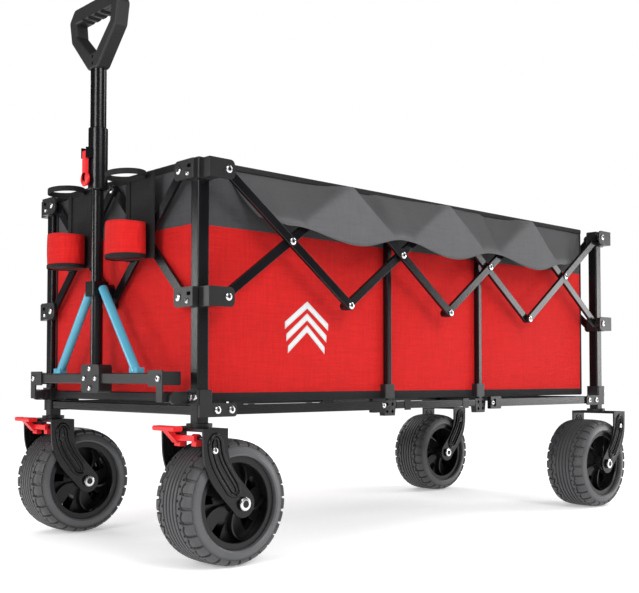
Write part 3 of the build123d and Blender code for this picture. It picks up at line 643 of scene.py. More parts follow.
RIM_TAPE, BINDING = 0.011, 0.0085
for side, side_name in SIDES:
    inner, outer = side * (wall_y - 0.0022), side * (wall_y + 0.0026)
    low_y, high_y = min(inner, outer), max(inner, outer)
    rim = tape(f"{side_name}_rim_tape", (tub_low.x, low_y, tub_high.z - RIM_TAPE),
               (tub_high.x - 0.002, high_y, tub_high.z + 0.0015), 120, 0)
    crumple_wall(rim)
    base = tape(f"{side_name}_base_band", (tub_low.x, low_y, tub_low.z - 0.001),
                (tub_high.x - 0.002, high_y, tub_low.z + 0.014), 120, 0, black_cloth,
                follow=follow_belly(side))
    crumple_wall(base)
for end_name, x, outward, body in END_WALLS:
    tape(f"{end_name}_rim_tape", (x - 0.0024, -wall_y, tub_high.z - RIM_TAPE),
         (x + 0.0024, wall_y, tub_high.z + 0.0015), 30, 1, body=body)
    tape(f"{end_name}_base_band", (x - 0.0024, -wall_y, tub_low.z - 0.001),
         (x + 0.0044, wall_y, tub_low.z + 0.014), 30, 1, black_cloth, body)
    for side, side_name in SIDES:
        tape(f"{end_name}_{side_name}_corner_tape",
             (x - 0.003, side * wall_y - 0.0028, tub_low.z),
             (x + 0.003, side * wall_y + 0.0028, tub_high.z), 24, 2, body=body)
print("tapes done")

# %% [markdown]
# The flaps are what makes this cart look like itself: one skirt of grey cloth a side, sewn to the
# rim and thrown outwards over the scissor bars. Where a pair of bars meets at the top the cloth
# makes a peaked face and hangs below the bars in a curved hem. Between two peaks it dips back to
# the rim. So each column of the grid has three marks: the rim, the point where the cloth goes over
# a bar, and the hem. The rows in between are eased from mark to mark. A simulation of cloth on bars
# was the other way, but the crisp ridge along each bar is easier to keep with marks.

# %% flap marks
HEM_HIGH = 0.5605
HEM_DROP = 0.0245
RIDGE_LIFT = 0.0095
flap_front = front_joint_x - 0.030
flap_rear = rear_joint_x + 0.018
clear = 0.0022               # a gap between cloth and steel
ridge_keys = sorted([
    (flap_front, wall_y + 0.0045),
    (crossing_x[0] + 0.040, middle_layer_y - 0.008),
    (crossing_x[0] - 0.026, middle_layer_y + 2 * clear),
    (joint_x[1] + 0.020, bolt_head_y + clear),
    (joint_x[1] - 0.020, bolt_head_y + clear),
    (crossing_x[1] + 0.020, bolt_head_y + clear),
    (crossing_x[1] - 0.030, middle_layer_y + 3 * clear),
    (joint_x[2], middle_layer_y + 3 * clear),
    (crossing_x[2], middle_layer_y + 2 * clear),
    (joint_x[3], middle_layer_y + 3 * clear),
    (crossing_x[3] + 0.030, inner_layer_y + 2 * clear),
    (crossing_x[3] - 0.040, inner_layer_y - 2 * clear),
    (flap_rear, wall_y + 0.0045),
])


def nearness(x):
    """1 at a top pivot and 0 at a crossing."""
    return abs(((x - front_joint_x) / cell) % 1.0 - 0.5) * 2


def end_share(x):
    """1 over the flapping part and 0 where the skirt dies into the wall at either end."""
    inward = min(crossing_x[0] + 0.04 - x, x - crossing_x[-1] + 0.04)
    return ease(inward / 0.05)


def hem_height(x):
    """The hem's curve: high at the crossings and low in the middle of a peak."""
    inside = crossing_x[-1] < x < crossing_x[0]
    drop = HEM_DROP * (0.5 - 0.5 * math.cos(math.pi * nearness(x))) if inside else 0.0
    return HEM_HIGH - drop


def ridge(x):
    """Where the cloth goes over a bar: (how far out, how high)."""
    out = smooth_through(ridge_keys, x)
    inside = crossing_x[-1] < x < crossing_x[0]
    bar_z = crossing_z + (top_joint_z - crossing_z) * nearness(x) if inside else HEM_HIGH
    return out, max(min(bar_z + RIDGE_LIFT, tub_high.z - 0.006), hem_height(x) + 0.008)


# %% [markdown]
# The sheet itself is one grid a side. Each column follows its marks, bulges a little below the bar
# and ripples at the hem. A number at each point says how deep it lies in a dip, and the finish uses
# it as painted shade that darkens the cloth there. Black binding is sewn over the raw edge along
# the rim.

# %% flap sheets
RIDGE_SHARE = 0.5
END_TUCK = 0.004
flap_length = flap_front - flap_rear
RIM_START = tub_high.z - 0.0035


def over_rail(x):
    """1 where the skirt lies over the middle frame's upper rail and 0 in the end cells."""
    return ease((cell * 0.5 + 0.045 - abs(x)) / 0.03)


def flap_point(x, down):
    """A point of the skirt: down is 0 at the rim and 1 at the hem."""
    out, ridge_z = ridge(x)
    start_y = wall_y + 0.0032
    hem = hem_height(x)
    if down < RIDGE_SHARE:
        share = down / RIDGE_SHARE
        hollow = 1.35 - 0.80 * over_rail(x)
        reach = (out - start_y) * share ** (hollow if nearness(x) < 0.92 else 1.0)
        return start_y + reach, RIM_START + (ridge_z - RIM_START) * share
    share = (down - RIDGE_SHARE) / (1 - RIDGE_SHARE)
    swell = math.sin(math.pi * share * 0.62) * 0.013 * nearness(x) ** 0.7 * end_share(x)
    ripple = noise.noise(Vector((x * 26, share * 2, 5.1))) * 0.0016 * share
    return out + swell + ripple, ridge_z + (hem - ridge_z) * share


def flap(side):
    """The skirt's ends slant down behind the first and the last bar, which hide them."""
    def shape(u, v):
        start = flap_rear + (crossing_x[-1] - END_TUCK - flap_rear) * (1 - v)
        end = flap_front + (crossing_x[0] + END_TUCK - flap_front) * (1 - v)
        x = start + u * (end - start)
        y, z = flap_point(x, 1 - v)
        return Vector((x, side * y, z))
    bm = cloth_grid(224, 28, shape)
    bmesh.ops.smooth_vert(bm, verts=[v for v in bm.verts if not v.is_boundary], factor=0.35,
                          use_axis_x=False, use_axis_y=True, use_axis_z=True)
    return bm


def fold_tone(spot):
    """1 on the peaked faces and lower in the dips between them: painted shade darkens the dips."""
    peak_z = ridge(spot.x)[1]
    above = (spot.z - peak_z) / 0.012
    return 1 - 0.55 * ease(above + 0.2) * ease((1 - nearness(spot.x)) * 6 + 0.3)


def sheet_area(bm):
    return sum(face.calc_area() for face in bm.faces)


for side, side_name in SIDES:
    bm = flap(side)
    area = sheet_area(bm)
    drop = area / flap_length
    # Painted shade: how much each point is darkened in the dips, kept as a point attribute.
    painted_shades = [fold_tone(vert.co) for vert in bm.verts]
    skirt = make_piece(f"{side_name}_flap_cloth", bm, flap_cloth)
    skirt.data.attributes.new("fold_tone", "FLOAT", "POINT").data.foreach_set("value", painted_shades)
    thicken(skirt, 0.0013)
    crumple_cell(skirt)
    near, far = side * (wall_y + 0.0005), side * (wall_y + 0.0078)
    binding = tape(f"{side_name}_flap_binding", (flap_rear, min(near, far), tub_high.z - BINDING),
                   (flap_front, max(near, far), tub_high.z + 0.0018), 120, 0, black_cloth)
    crumple_cell(binding)
    print(side_name, "flap", round(flap_length, 3), "by", round(drop, 3))

# %% [markdown]
# Each bottle pocket is a red cloth cup with a bound edge, hung from black strips, with an elastic
# ring above it that holds the bottle's neck. The cup is an ellipse, extruded upwards in rings.

# %% bottle pockets
cups_low, cups_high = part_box("cup_holders")
CUP_WALL = 0.0012
cup_depth = cups_high.x - cups_low.x
cup_x = cups_low.x + cup_depth / 2
openings = frame["record"]["physics"]["openings"]
mouth_low, mouth_high = next(item["box_m"] for item in openings if item["name"] == "left_cup")
cup_y = (mouth_low[1] + mouth_high[1]) / 2
cup_half_width = cups_high.y - cup_y
cup_base_z = cups_low.z
CUP_HEIGHT = 0.058
cup_ring_z = cups_high.z - 0.0125


def ellipse_ring(bm, half_x, half_y, x, y, z, segments=56):
    """A closed loop of edges on an ellipse."""
    made = bmesh.ops.create_circle(bm, segments=segments, radius=1.0)
    for vert in made["verts"]:
        vert.co = Vector((x + vert.co.x * half_x, y + vert.co.y * half_y, z))
    return [edge for edge in bm.edges if all(end in made["verts"] for end in edge.verts)]


def raise_rings(bm, edges, steps, rise, swell):
    """Extrudes a loop upwards in steps; swell(share) scales each new ring about its middle."""
    for step in range(1, steps + 1):
        made = bmesh.ops.extrude_edge_only(bm, edges=edges)["geom"]
        verts = [part for part in made if isinstance(part, bmesh.types.BMVert)]
        edges = [part for part in made if isinstance(part, bmesh.types.BMEdge)]
        middle = sum((vert.co for vert in verts), Vector()) / len(verts)
        grow = swell(step / steps) / swell((step - 1) / steps)
        for vert in verts:
            vert.co.x = middle.x + (vert.co.x - middle.x) * grow
            vert.co.y = middle.y + (vert.co.y - middle.y) * grow
            vert.co.z += rise / steps
    return edges


def cup_swell(share):
    """The cup is a little wider half-way up."""
    return 1.0 + 0.018 * math.sin(math.pi * share)


def cup_cloth(y):
    bm = bmesh.new()
    ring = ellipse_ring(bm, cup_depth / 2 - 0.001, cup_half_width - 0.0012, cup_x, y,
                        cup_base_z + 0.001)
    raise_rings(bm, ring, 10, CUP_HEIGHT - 0.001, cup_swell)
    for vert in bm.verts:
        up = (vert.co.z - cup_base_z) / CUP_HEIGHT
        bow = 1 - ((vert.co.y - y) / cup_half_width) ** 2
        vert.co.z += 0.003 * up * bow
        vert.co.x += noise.noise(Vector((vert.co.y * 40, vert.co.z * 30, 1.3))) * 0.0008
    bmesh.ops.recalc_face_normals(bm, faces=bm.faces)
    return bm


def cup_bottom(y):
    bm = bmesh.new()
    made = bmesh.ops.create_circle(bm, cap_ends=True, segments=56, radius=1.0)
    for vert in made["verts"]:
        vert.co = Vector((cup_x + vert.co.x * (cup_depth / 2 - 0.0015),
                          y + vert.co.y * (cup_half_width - 0.0017), cup_base_z + 0.0022))
    for inset in (0.008, 0.009):
        bmesh.ops.inset_region(bm, faces=[max(bm.faces, key=lambda face: len(face.verts))],
                               thickness=inset, use_even_offset=True)
    bmesh.ops.recalc_face_normals(bm, faces=bm.faces)
    return bm


def band(y, z, height, half_x, half_y, wall):
    """A closed elastic or bound ring: an ellipse raised once and given a wall."""
    bm = bmesh.new()
    ring = ellipse_ring(bm, half_x, half_y, cup_x, y, z)
    raise_rings(bm, ring, 3, height, lambda share: 1.0 + 0.006 * math.sin(math.pi * share))
    bmesh.ops.recalc_face_normals(bm, faces=bm.faces)
    bmesh.ops.solidify(bm, geom=bm.faces[:], thickness=wall)
    return bm


for side, side_name in SIDES:
    y = side * cup_y
    cup = make_piece(f"{side_name}_pocket_cup", cup_cloth(y), red_cloth)
    thicken(cup, CUP_WALL)
    round_trip = math.pi * (cup_depth / 2 + cup_half_width)
    base = make_piece(f"{side_name}_pocket_base", cup_bottom(y), black_cloth)
    thicken(base, CUP_WALL)
    rings = [
        (f"{side_name}_pocket_hem", cup_base_z - 0.0008, 0.0062, 0.0004),
        (f"{side_name}_pocket_elastic", cup_ring_z, 0.0095, -0.0002),
    ]
    pieces = [cup, base]
    for name, z, height, grow in rings:
        ring = band(y, z, height, cup_depth / 2 + grow, cup_half_width + grow, 0.0016)
        pieces.append(make_piece(name, ring, black_webbing))
    for edge in (-1, 1):
        strip_y = y + edge * (cup_half_width - 0.0035)
        pieces.append(tape(f"{side_name}_pocket_strap_{'inner' if edge * side < 0 else 'outer'}",
                           (cups_low.x + 0.0008, strip_y - 0.0065, cup_base_z - 0.001),
                           (cups_low.x + 0.0032, strip_y + 0.0065, tub_high.z - 0.008), 24, 2))
    pieces.append(tape(f"{side_name}_pocket_back", (cups_low.x - 0.0002, y - cup_half_width + 0.004,
                                                    cup_base_z + 0.001),
                       (cups_low.x + 0.0012, y + cup_half_width - 0.004, tub_high.z - 0.010), 24, 2,
                       black_cloth))
    for piece in pieces:
        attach(piece, "front_frame")
        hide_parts("cup_holders")
print("pockets at", round(cup_y, 3))

# %% [markdown]
# The tread starts as a profile, half a cut through the tyre, that is spun once round the axle. Then
# its faces are sorted: shoulder faces are picked in blocks and pushed out with an inset that has a
# depth, and short slits are pushed in the same way. Every block is real geometry, so it also shows
# on the tyre's outline. A number at each point marks the smooth sidewall for the rubber's finish.

# %% tyres
TYRE_STEPS = 168
BLOCKS = 28
RIM_SEAT = 0.0742
tyre_low, tyre_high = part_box("left_front_tyre")
tyre_radius = (tyre_high.z - tyre_low.z) / 2
tyre_half = (tyre_high.y - tyre_low.y) / 2
profile_half = [(0.0, -0.0026), (0.0011, -0.0026), (0.0019, 0.0), (0.0066, 0.0), (0.0074, -0.0026),
                (0.0096, -0.0026), (0.0104, 0.0), (0.0151, -0.0001), (0.0159, -0.0027),
                (0.0181, -0.0027), (0.0189, -0.0003), (0.0225, -0.0005), (0.0262, -0.0010),
                (0.0270, -0.0044), (0.0298, -0.0048), (0.0335, -0.0052), (0.0375, -0.0060),
                (0.0415, -0.0078), (0.0450, -0.0112), (0.0475, -0.0160), (0.0488, -0.0210)]
TREAD_FROM, SHOULDER_INNER = 0.090, 0.085      # radii
SLIT_FROM, SLIT_MIDDLE, SLIT_TO = 0.0190, 0.0226, 0.0262
SIDEWALL_ACROSS, SIDEWALL_RADIUS = 0.0462, 0.093
ZIGZAG_FROM, ZIGZAG_TO, ZIGZAG_SWAY = 0.0255, 0.0305, 0.0040
SHOULDER_FROM, SHOULDER_TO = 0.0300, 0.0462


def tyre_profile():
    """Points (across, radius) from one bead over the tread to the other."""
    outer = [(across, tyre_radius + dip) for across, dip in profile_half]
    bead = [(tyre_half - 0.0006, RIM_SEAT + 0.0040), (tyre_half - 0.0022, RIM_SEAT + 0.0012),
            (tyre_half - 0.0065, RIM_SEAT)]
    right = outer + bead
    left = [(-across, radius) for across, radius in reversed(right[1:])]
    return left + right


def spun_tyre(centre):
    bm = bmesh.new()
    rows = [bm.verts.new((0, across, radius)) for across, radius in tyre_profile()]
    edges = [bm.edges.new(pair) for pair in zip(rows, rows[1:])]
    edges.append(bm.edges.new((rows[-1], rows[0])))
    bmesh.ops.spin(bm, geom=rows + edges, cent=(0, 0, 0), axis=(0, 1, 0), angle=2 * math.pi,
                   steps=TYRE_STEPS, use_merge=True)
    bmesh.ops.remove_doubles(bm, verts=bm.verts, dist=1e-5)
    bmesh.ops.recalc_face_normals(bm, faces=bm.faces)
    sway_tread(bm)
    raise_blocks(bm)
    bmesh.ops.translate(bm, verts=bm.verts, vec=centre)
    return bm


def turn_of(spot):
    """The angle round the axle, in steps of the spin."""
    return (math.atan2(spot.x, spot.z) / (2 * math.pi) * TYRE_STEPS) % TYRE_STEPS


def sway_tread(bm):
    """Bends the groove beside the shoulder into a zigzag."""
    span = TYRE_STEPS / BLOCKS
    for vert in bm.verts:
        across = abs(vert.co.y)
        if ZIGZAG_FROM < across < ZIGZAG_TO and Vector((vert.co.x, vert.co.z)).length > TREAD_FROM:
            beat = (turn_of(vert.co) % span) / span
            side = 1 if vert.co.y > 0 else -1
            vert.co.y += side * ZIGZAG_SWAY * max(-0.5, min(0.5, math.sin(2 * math.pi * beat)))


def raise_blocks(bm):
    """Pushes out the shoulder blocks and pushes in the slits of the inner tread."""
    span = TYRE_STEPS / BLOCKS
    blocks, slits = [], []
    for face in bm.faces:
        middle = face.calc_center_median()
        across, turn = abs(middle.y), turn_of(middle)
        radius = Vector((middle.x, middle.z)).length
        beat = (turn + (span / 2 if middle.y < 0 else 0)) % span
        if SHOULDER_FROM < across < SHOULDER_TO and radius > SHOULDER_INNER and beat > 1.0:
            blocks.append(face)
        elif SLIT_FROM < across < SLIT_TO and radius > TREAD_FROM:
            wide = across > SLIT_MIDDLE
            if (beat < 1.0 and wide) or (3.0 < beat < 4.0 and not wide):
                slits.append(face)
    bmesh.ops.inset_region(bm, faces=blocks, thickness=0.0007, depth=0.0036, use_even_offset=True)
    bmesh.ops.inset_region(bm, faces=slits, thickness=0.0004, depth=-0.0026, use_even_offset=True)


def sidewall_share(across, radius):
    """1 on the smooth sidewall and 0 on the tread."""
    return ease((abs(across) - SIDEWALL_ACROSS) / 0.001) * ease((SIDEWALL_RADIUS - radius) / 0.002)


for end in ("front", "rear"):
    for side in ("left", "right"):
        low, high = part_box(f"{side}_{end}_tyre")
        tyre = make_piece(f"{side}_{end}_tread", spun_tyre((low + high) / 2), rubber_finish)
        middle_x, middle_y, middle_z = ((low.x + high.x) / 2, (low.y + high.y) / 2,
                                        (low.z + high.z) / 2)
        sides = [sidewall_share(vert.co.y - middle_y,
                                math.hypot(vert.co.x - middle_x, vert.co.z - middle_z))
                 for vert in tyre.data.vertices]
        tyre.data.attributes.new("sidewall", "FLOAT", "POINT").data.foreach_set("value", sides)
        tyre.data.set_sharp_from_angle(angle=math.radians(38))
        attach(tyre, f"{side}_{end}_wheel")
        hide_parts(f"{side}_{end}_tyre")
print("tyre faces", len(tyre.data.polygons))

# %% [markdown]
# A wheel is one glossy black moulding: a barrel that the tyre sits on, a hub, and between them a
# dished disc with five thin fins and five narrow windows. A profile spun round the axle gives the
# barrel, the hub and the dish, each in one go. The windows are faces taken out of the dish before
# it gets its thickness. Each fin is a narrow strip of faces that curves away from the hub,
# thickened.

# %% wheel mouldings
FINS = 5
FIN_STEPS, FIN_SWEEP, FIRST_FIN = 8, 0.55, 24      # FIRST_FIN in degrees
FIN_REACH, FIN_TAPER, FIN_THICKNESS = 0.036, 0.010, 0.0030
DISH_STEPS, DISH_RINGS, DISH_THICKNESS = 90, 9, 0.0024
DISH_EDGE_Y, DISH_RISE = 0.016, 0.012
DISH_LEVEL, DISH_OUTER, FIN_OUTER = 0.069, 0.0700, 0.0712      # radii
WINDOW_INNER, WINDOW_OUTER = 0.034, 0.061      # radii
WINDOW_FROM, WINDOW_TO = 2.0, 7.2              # in steps of the spin, 18 to a fin
BARREL_RADIUS, LIP_RADIUS, HUB_RADIUS, HUB_OVERLAP = 0.0738, 0.0635, 0.0165, 0.001
rim_low, rim_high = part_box("left_front_rim")
hub_half = (rim_high.y - rim_low.y) / 2
barrel_half = hub_half - 0.004
AXLE_BORE = 0.0056


def spin_profile(bm, points, steps, closed):
    """Spins points (across, radius) round the axle and returns the new faces."""
    before = set(bm.faces)
    rows = [bm.verts.new((0, across, radius)) for across, radius in points]
    edges = [bm.edges.new(pair) for pair in zip(rows, rows[1:])]
    if closed:
        edges.append(bm.edges.new((rows[-1], rows[0])))
    bmesh.ops.spin(bm, geom=rows + edges, cent=(0, 0, 0), axis=(0, 1, 0), angle=2 * math.pi,
                   steps=steps, use_merge=True)
    bmesh.ops.remove_doubles(bm, verts=bm.verts, dist=1e-6)
    return [face for face in bm.faces if face not in before]


def dish_y(radius):
    """How far the dish stands from the middle plane: high at the hub, low at the barrel."""
    share = (radius - HUB_RADIUS) / (DISH_LEVEL - HUB_RADIUS)
    return DISH_RISE * (1 - share) ** 2 + DISH_EDGE_Y


def wheel_dish(bm, side):
    """The dished disc on one side, with its windows cut out."""
    radii = [HUB_RADIUS - HUB_OVERLAP + ring * (DISH_OUTER - HUB_RADIUS) / DISH_RINGS
             for ring in range(DISH_RINGS + 1)]
    profile = [(side * dish_y(radius), radius) for radius in radii]
    faces = spin_profile(bm, profile, DISH_STEPS, False)
    span = DISH_STEPS / FINS
    windows = []
    for face in faces:
        middle = face.calc_center_median()
        radius = math.hypot(middle.x, middle.z)
        beat = (math.atan2(middle.x, middle.z) / (2 * math.pi) * DISH_STEPS + 2) % span
        if WINDOW_INNER < radius < WINDOW_OUTER and WINDOW_FROM < beat < WINDOW_TO:
            windows.append(face)
    bmesh.ops.delete(bm, geom=windows, context="FACES")
    faces = [face for face in faces if face.is_valid]
    bmesh.ops.recalc_face_normals(bm, faces=faces)
    bmesh.ops.solidify(bm, geom=faces, thickness=DISH_THICKNESS)


def wheel_fin(bm, turn):
    """One thin curved fin from the hub to the barrel, standing out on both sides of the dish."""
    rows = []
    for step in range(FIN_STEPS + 1):
        share = step / FIN_STEPS
        radius = HUB_RADIUS - HUB_OVERLAP + share * (FIN_OUTER - HUB_RADIUS)
        angle = turn + FIN_SWEEP * share ** 2
        reach = FIN_REACH - FIN_TAPER * share
        x, z = radius * math.sin(angle), radius * math.cos(angle)
        rows.append([bm.verts.new((x, across, z)) for across in (-reach, reach)])
    faces = [bm.faces.new((low[0], low[1], high[1], high[0])) for low, high in zip(rows, rows[1:])]
    bmesh.ops.recalc_face_normals(bm, faces=faces)
    bmesh.ops.solidify(bm, geom=faces, thickness=FIN_THICKNESS)


def wheel_moulding(centre):
    bm = bmesh.new()
    inner = BARREL_RADIUS - 0.0042
    half = barrel_half
    barrel = [(-half, BARREL_RADIUS), (-half, LIP_RADIUS + 0.001), (-half + 0.0012, LIP_RADIUS),
              (-half + 0.0040, LIP_RADIUS), (-half + 0.0052, LIP_RADIUS + 0.001),
              (-half + 0.0080, inner)]
    barrel += [(-across, radius) for across, radius in reversed(barrel)]
    faces = spin_profile(bm, barrel, 96, True)
    bmesh.ops.recalc_face_normals(bm, faces=faces)
    hub = [(-hub_half, AXLE_BORE), (-hub_half, 0.0135), (-hub_half + 0.0015, 0.0150),
           (-FIN_REACH, HUB_RADIUS)]
    hub += [(-across, radius) for across, radius in reversed(hub)]
    faces = spin_profile(bm, hub, 48, True)
    bmesh.ops.recalc_face_normals(bm, faces=faces)
    for side in (1, -1):
        wheel_dish(bm, side)
    for fin in range(FINS):
        wheel_fin(bm, math.radians(360 / FINS * fin + FIRST_FIN))
    bmesh.ops.translate(bm, verts=bm.verts, vec=centre)
    return bm


for end in ("front", "rear"):
    for side in ("left", "right"):
        low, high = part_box(f"{side}_{end}_rim")
        wheel = make_piece(f"{side}_{end}_wheel_moulding", wheel_moulding((low + high) / 2),
                           rim_black)
        wheel.data.set_sharp_from_angle(angle=math.radians(32))
        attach(wheel, f"{side}_{end}_wheel")
        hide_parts(f"{side}_{end}_rim")
print("wheel faces", len(wheel.data.polygons))

# %% [markdown]
# The fork arms are stiffened by two raised beads, one inside the other, that catch the light. A
# bead is a closed curve round the arm's middle line. Blender gives a curve a round section by
# itself, and the result is turned into a mesh. The middle line starts under the crown and leans to
# the axle.

# %% fork beads
CROWN_BELOW_TOP = 0.024      # the king pin stands this far above the crown
FORK_NOSE = 0.034            # the crown reaches this far ahead of the swivel
AXLE_HEAD = 0.006            # the axle bolt's head stands this far outside the arm
BEAD_PROUD = 0.0006
BEADS = ((0.0122, 0.0030), (0.0050, 0.0022))      # distance from the middle line, thickness
middle_line = [(0.0105, -0.018), (0.0095, -0.034), (0.004, -0.052), (-0.006, -0.069),
               (-0.017, -0.084), (-0.027, -0.098)]


def bead_route(reach):
    """Points of a closed bead at one distance from the arm's middle line, as (x, z)."""
    left, right = [], []
    for index, (x, z) in enumerate(middle_line):
        x0, z0 = middle_line[max(index - 1, 0)]
        x1, z1 = middle_line[min(index + 1, len(middle_line) - 1)]
        along = Vector((x1 - x0, z1 - z0)).normalized()
        left.append((x - along.y * reach, z + along.x * reach))
        right.append((x + along.y * reach, z - along.x * reach))
    (top_x, top_z), (end_x, end_z) = middle_line[0], middle_line[-1]
    along = Vector((end_x - middle_line[-2][0], end_z - middle_line[-2][1])).normalized() * reach
    cap = (end_x + along.x, end_z + along.y)
    return [(top_x, top_z + reach)] + left + [cap] + right[::-1]


def bead(name, swivel_x, crown_z, y, forward, reach, thickness, body):
    """One bead on one face of a fork arm; forward is 1 at the front and -1 at the rear."""
    route = bpy.data.curves.new(name, "CURVE")
    route.dimensions = "3D"
    route.bevel_depth = thickness
    route.bevel_resolution = 3
    route.resolution_u = 6
    line = route.splines.new("NURBS")
    points = bead_route(reach)
    line.points.add(len(points) - 1)
    for point, (x, z) in zip(line.points, points):
        point.co = (swivel_x + forward * x, y, crown_z + z, 1)
    line.order_u = 3
    line.use_cyclic_u = True
    holder = bpy.data.objects.new(name, route)
    mesh = bpy.data.meshes.new_from_object(holder)
    bpy.data.objects.remove(holder)
    mesh.name = name
    mesh.materials.clear()
    mesh.materials.append(fork_black)
    for face in mesh.polygons:
        face.use_smooth = True
    piece = bpy.data.objects.new(name, mesh)
    bpy.context.scene.collection.objects.link(piece)
    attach(piece, body)


for end, node, forward, body in (("left_front", "left_front_fork", 1, "left_front_castor"),
                                 ("right_front", "right_front_fork", 1, "right_front_castor"),
                                 ("left_rear", "rear_forks", -1, "rear_frame"),
                                 ("right_rear", "rear_forks", -1, "rear_frame")):
    low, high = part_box(node)
    wheel_low, wheel_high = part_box(f"{end}_tyre")
    wheel_y = (wheel_low.y + wheel_high.y) / 2
    swivel_x = high.x - FORK_NOSE if forward > 0 else low.x + FORK_NOSE
    arm_reach = (max(abs(low.y), abs(high.y)) - AXLE_HEAD) - abs(wheel_y)
    for face_side in (1, -1):
        y = wheel_y + face_side * (arm_reach + BEAD_PROUD)
        facing = "out" if face_side * wheel_y > 0 else "in"
        for number, (reach, thickness) in enumerate(BEADS, 1):
            bead(f"{end}_fork_bead_{facing}_{number}", swivel_x, high.z - CROWN_BELOW_TOP, y,
                 forward, reach, thickness, body)
print("each fork arm has", len(BEADS), "beads")

# %% [markdown]
# The front bay of each long wall carries a white print, a plain mark of three nested chevrons. Each
# chevron is two leaning strips of a grid, laid just proud of the wall so that they follow the belly
# of the cloth, and the print rides on the front frame with the wall.

# %% printed chevrons
PRINT_X, PRINT_Z = 0.335, 0.392
PRINT_STROKE = 0.0085
CHEVRONS, CHEVRON_HEIGHT, CHEVRON_STEP = 3, 0.038, 0.021
CHEVRON_WIDTH, CHEVRON_SHRINK = 0.052, 0.004


def chevron(bm, side, width, base_z):
    """One chevron band: two leaning strips that meet at the top."""
    for lean in (-1, 1):
        made = bmesh.ops.create_grid(bm, x_segments=12, y_segments=1, size=0.5)
        for vert in made["verts"]:
            along, up = vert.co.x + 0.5, vert.co.y
            x = PRINT_X + lean * width * (1 - along)
            z = base_z + CHEVRON_HEIGHT * along + up * PRINT_STROKE * 1.5
            v = (z - tub_low.z) / wall_height
            out = wall_y + WALL_GAP + belly(x, v) * BELLY + wrinkle(x, z, WRINKLE) + 0.0004
            vert.co = Vector((x, side * out, z))


for side, side_name in SIDES:
    bm = bmesh.new()
    for number in range(CHEVRONS):
        chevron(bm, side, CHEVRON_WIDTH - number * CHEVRON_SHRINK,
                PRINT_Z - number * CHEVRON_STEP)
    bmesh.ops.remove_doubles(bm, verts=bm.verts, dist=1e-5)
    bmesh.ops.recalc_face_normals(bm, faces=bm.faces)
    mark = make_piece(f"{side_name}_printed_hills", bm, white_print)
    thicken(mark, 0.0003)
    crumple_wall(mark)
print("print of", CHEVRONS, "chevrons at", PRINT_X, PRINT_Z)

# %% [markdown]
# The release lever ends in a round red thumb pad. It is a short cylinder with a rounded edge,
# turned to face along the cart, and it moves with the lever.

# %% thumb pad
PAD_RADIUS = 0.0125
lever_low, lever_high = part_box("release_lever")
bm = bmesh.new()
bmesh.ops.create_cone(bm, cap_ends=True, segments=40, radius1=PAD_RADIUS, radius2=PAD_RADIUS,
                      depth=lever_high.x - lever_low.x,
                      matrix=Matrix.Translation(((lever_low.x + lever_high.x) / 2,
                                                 (lever_low.y + lever_high.y) / 2,
                                                 lever_low.z + PAD_RADIUS))
                      @ Matrix.Rotation(math.pi / 2, 4, "Y"))
pad = make_piece("thumb_pad", bm, signal_red)
round_edges(pad, 0.0022)
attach(pad, "release_lever")
print("thumb pad radius", PAD_RADIUS)

# %% [markdown]
# The frame's bolts are in the CAD nodes as plain discs. A bright cap with a rounded edge and a
# six-sided socket goes over each one. Their places come from the nodes themselves: the mesh of a
# node is split into its loose parts, and a part whose box is round and bolt-sized is a bolt.

# %% find the bolts of a node
SMALLEST_HEAD, LARGEST_HEAD = 0.0039, 0.0110
BORE = (0.0032, 0.0036)      # a collar's hole, which no bolt has
BARREL = (0.0066, 0.0094)    # a hinge barrel, which stays painted


def loose_parts(node):
    """Groups of points of a node that hang together."""
    bm = bmesh.new()
    bm.from_mesh(nodes[node].data)
    bmesh.ops.remove_doubles(bm, verts=bm.verts, dist=1e-6)
    seen, parts = set(), []
    for start in bm.verts:
        if start in seen:
            continue
        seen.add(start)
        part, waiting = [], [start]
        while waiting:
            vert = waiting.pop()
            part.append(vert.co.copy())
            for edge in vert.link_edges:
                other = edge.other_vert(vert)
                if other not in seen:
                    seen.add(other)
                    waiting.append(other)
        parts.append(part)
    bm.free()
    return parts


def head_ends(part, axis):
    """The bolt heads of a round part: (centre of the outer face, direction, radius)."""
    low = Vector(min(co[k] for co in part) for k in range(3))
    high = Vector(max(co[k] for co in part) for k in range(3))
    middle, size = (low + high) / 2, high - low
    cross = [k for k in range(3) if k != axis]
    radius = max(size[k] for k in cross) / 2
    if abs(size[cross[0]] - size[cross[1]]) > 0.0004 or not SMALLEST_HEAD < radius < LARGEST_HEAD:
        return []
    ends = []
    for sign in (-1, 1):
        face = high[axis] if sign > 0 else low[axis]
        near = [co for co in part if abs(co[axis] - face) < 0.0027]
        reach = [math.hypot(*(co[k] - middle[k] for k in cross)) for co in near]
        if max(reach) < 0.9 * radius:
            continue
        if BORE[0] < min(reach) < BORE[1] or BARREL[0] < radius < BARREL[1]:
            return []
        centre = middle.copy()
        centre[axis] = face
        ends.append((centre, sign, radius))
    if len(ends) == 2 and size[axis] < 0.05:
        ends = [max(ends, key=lambda end: end[0][axis] * (1 if middle[axis] > 0 else -1))]
    return ends


# %% [markdown]
# One cap is modelled for each size of bolt, lying flat with its middle at the origin. Copies of it
# are then turned and moved onto the heads. All caps of one body are one piece, so they move
# together.

